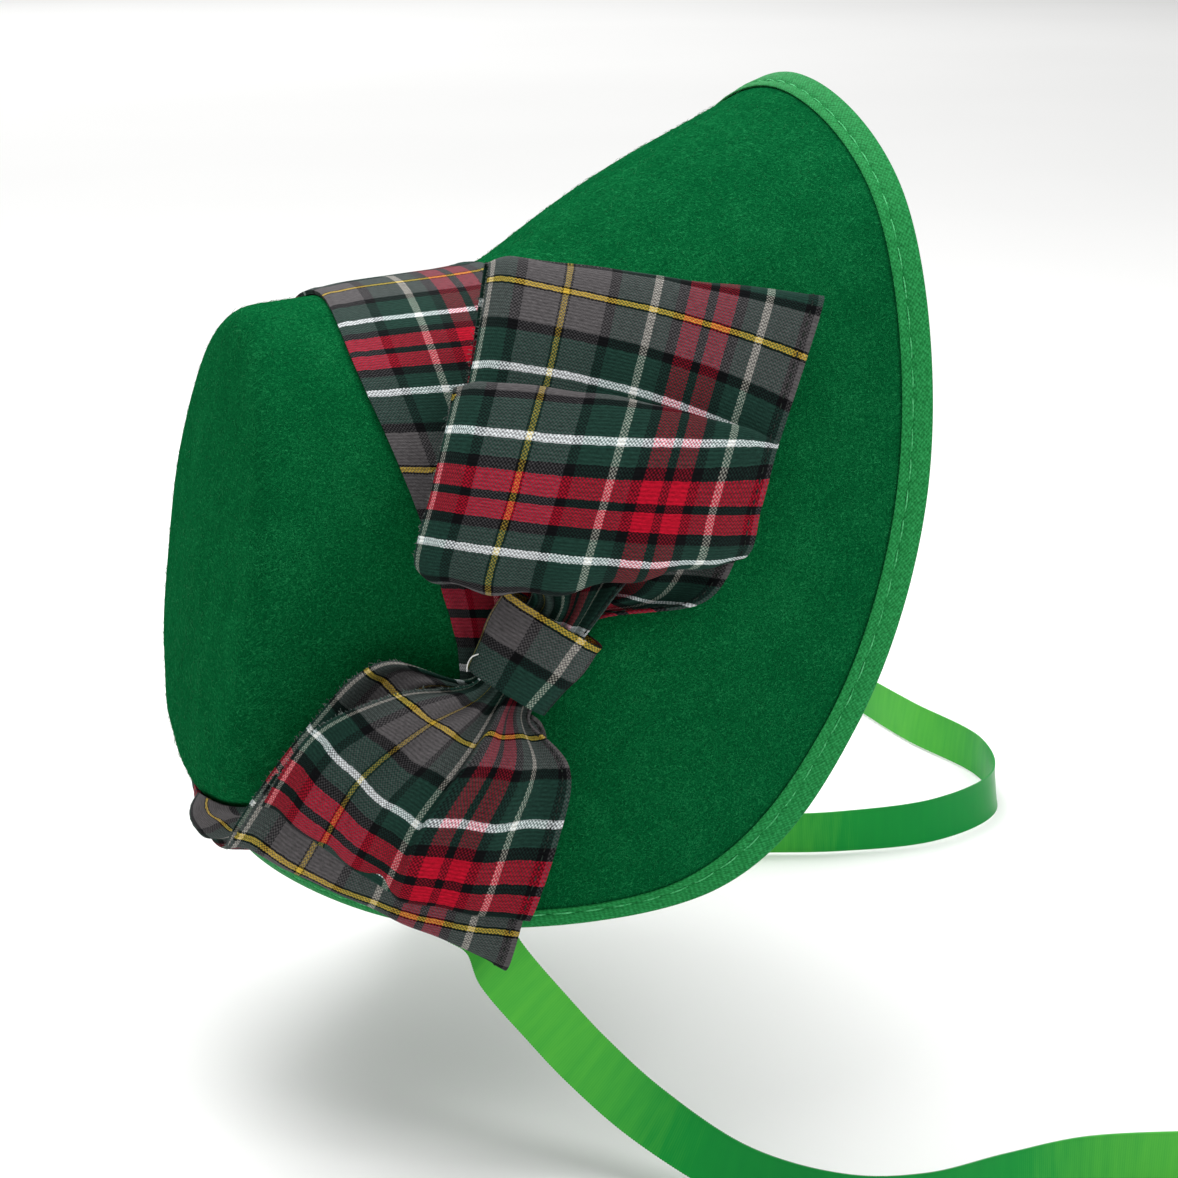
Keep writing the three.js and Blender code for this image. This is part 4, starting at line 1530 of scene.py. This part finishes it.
    def build_fray(self, name: str, grid: np.ndarray, normals: np.ndarray) -> bpy.types.Object:
        """Makes short loose threads along the rear selvedge of one loop.

        Args:
            name: Piece name.
            grid: The loop's grid.
            normals: Its normals.

        Returns:
            The threads as one piece.
        """
        chance = np.random.default_rng(SEED + len(name))
        line = np.hstack((grid[:, 0], unit(grid[:, 0] - grid[:, 2]), normals[:, 0]))
        length = arc_lengths(line[:, :3])[-1]
        count = int(length * self.fray_per_mm)
        read = evenly(line, np.sort(chance.random(count)) * length)
        aside = np.abs((read[:, :3] - np.array(self.center)) @ np.array(self.axes()[:2]).T)
        read = read[(aside > np.array((self.half_width, self.half_length)) + self.fray_clear).any(axis=1)]
        count = len(read)
        roots, out, up = read[:, :3], unit(read[:, 3:6]), unit(read[:, 6:])
        beside = unit(np.cross(out, up))
        least, most = self.fray_reach
        reach = least + (most - least) * chance.random((count, 1)) ** 2
        bend = chance.normal(scale=self.fray_bend, size=(count, 2, 1))
        loose = [roots + reach * (far * out + bent * bend[:, 0] * beside + raised * bend[:, 1] * up)
                 for far, bent, raised in self.fray_points]
        paths = np.stack((roots - self.fray_root * out, *loose), axis=1)
        return make_threads(name, paths, up, np.array(self.fray_radii), self.fray_sides, LOOSE_THREAD)

    def build_knot(self) -> None:
        """Makes the sleeve round the bow's middle and the end of white sewing thread beside it."""
        turns, columns = self.sleeve_steps
        turn = np.linspace(-math.pi / 2, 3 * math.pi / 2, turns)[:, None]
        along = np.linspace(-1, 1, columns)[None, :]
        cosine, sine = np.cos(turn), np.sin(turn)
        power = 2 / self.squareness
        # The sleeve tapers and narrows to its edges, and small waves keep it from being quite even.
        width = self.half_width + self.knot_taper * along - along ** 2 + 0.25 * np.sin(5 * along + 2 * turn)
        depth = self.half_depth - 0.35 * along ** 4 + 0.3 * np.sin(7 * along + 1.5 * turn) * cosine
        across = np.sign(cosine) * (width - self.thickness / 2) * np.abs(cosine) ** power
        out = np.sign(sine) * (depth - self.thickness / 2) * np.abs(sine) ** power
        middle = self.point(across, along * self.half_length + 0.6 * cosine * (1 - along ** 2), out)
        arc = arc_lengths(middle[:, columns // 2])
        outer, upper = self.sleeve_cloth
        around = outer + arc[-1] / 2 - arc
        cloth = cloth_map(around[:, None], (1 - along) * self.half_length + upper)
        turned = self.sleeve_turned * np.abs(along) ** 8
        knot = make_sheet("bow_knot_sleeve", middle, grid_normals(middle), self.thickness + turned,
                          TARTAN, "bow_knot", cloth)
        ends = self.point(*np.array(self.tail).T)
        thread = open_curve(ends, np.linspace(0, len(ends) - 1, self.tail_steps))
        radii = np.full(self.tail_steps, self.tail_radius)
        tail = make_threads("bow_knot_thread", thread[None], self.axes()[2][None], radii, self.tail_sides,
                            PALE_THREAD)

    def build(self) -> None:
        """Makes the two loops and the knot."""
        self.build_loop(Loop.UPPER, "bow_upper_loop")
        self.build_loop(Loop.LOWER, "bow_lower_loop")
        self.build_knot()


@dataclass
class RibbonTie:
    """Satin ribbon sewn inside the brim and left loose, with a fine picot along both edges."""

    form: FeltForm
    side: Side
    route: tuple[TiePoint, ...]
    node: str
    cloth_start: float = 0.0
    width: float = 20.0
    thickness: float = 0.5
    station: float = 4.88
    sewn: tuple[float, ...] = (16.0, 3.0, -5.0)
    run_reach: float = 2.0
    depth: float = 5.0
    roll: float = 0.15
    roll_pitch: float = 230.0
    roll_start: float = 60.0
    step: float = 0.45
    picot: float = 0.2
    path_step: float = 12.0
    fine_steps: int = 60
    cup: float = 0.25
    cup_level: float = 0.4
    # Height and pace of the slow wave along the ribbon.
    ripple: tuple[float, float] = (0.12, 17.0)
    edge_from: float = 0.95
    edge_extra: float = 0.5
    columns: tuple[float, ...] = (-1.0, -0.97, -0.9, -0.5, 0.0, 0.5, 0.9, 0.97, 1.0)

    def rows(self) -> tuple[np.ndarray, np.ndarray]:
        """Lists the ribbon's route, from where it is sewn to its end.

        Returns:
            Middle points and width directions.
        """
        station = self.station if self.side is Side.RIGHT else TURN - self.station
        reach = np.array([self.sewn])
        points, normals = self.form.surface(np.array([station]), reach, From.RIM)
        ends = self.form.read(np.array([station]), np.array([[0.0, self.run_reach]]), From.RIM)[0]
        across = unit(np.cross(ends[0] - ends[1], normals[0]))
        across *= np.sign(across[:, :1])
        places = np.vstack((points[0] - normals[0] * self.depth, [p.place for p in self.route]))
        return places, np.vstack((across, [p.across for p in self.route]))

    def build(self) -> None:
        """Makes the ribbon."""
        places, across = self.rows()
        fine = np.linspace(0, len(places) - 1, self.fine_steps * len(places))
        line = np.hstack((open_curve(places, fine), open_curve(across, fine, even=True)))
        length = float(arc_lengths(line[:, :3])[-1])
        count = int(length / self.step)
        at = np.linspace(0, length, count)
        read = evenly(line, at)
        middle, wide = read[:, :3], unit(read[:, 3:])
        face = unit(np.cross(np.gradient(middle, axis=0), wide))
        fade = np.clip((at - self.roll_start) / self.roll_start, 0, 1)
        roll = (self.roll * fade * np.sin(2 * math.pi * at / self.roll_pitch + self.side.value))[:, None]
        wide = wide * np.cos(roll) + face * np.sin(roll)
        columns = np.array(self.columns)[None, :]
        tooth = self.picot * (np.arange(count) % 2)[:, None] * (np.abs(columns) == 1) * np.sign(columns)
        reach = columns * (self.width / 2 - self.picot / 2) + tooth
        grid = middle[:, None] + wide[:, None] * reach[:, :, None]
        normals = grid_normals(grid)
        high, pace = self.ripple
        cup = self.cup * (columns ** 2 - self.cup_level) + high * np.sin(at[:, None] / pace)
        grid = grid + normals * cup[:, :, None]
        rim = self.thickness * (1 + self.edge_extra * (np.abs(columns) > self.edge_from))
        cloth = cloth_map(columns * self.width / 2, at[:, None] + self.cloth_start)
        ribbon = make_sheet(f"{self.node}_satin", grid, normals, rim, SATIN, self.node, cloth)
        path = np.vstack((evenly(line, np.arange(0, length, self.path_step)), line[-1]))
        path = metres(path[:, :3])


def main() -> None:
    """Builds the bonnet in order."""
    logging.basicConfig(level=logging.INFO, format="%(name)s: %(message)s")
    studio = Studio()
    studio.build_camera()
    form = FeltForm()
    RibbonTie(form, Side.RIGHT, RIGHT_ROUTE, "tie_right").build()
    RibbonTie(form, Side.LEFT, LEFT_ROUTE, "tie_left", cloth_start=87.5).build()
    studio.build_room()
    FeltShell(form).build()
    BrimBinding(form).build()
    HatBand(form).build()
    Bow().build()


if __name__ == "__main__":
    main()
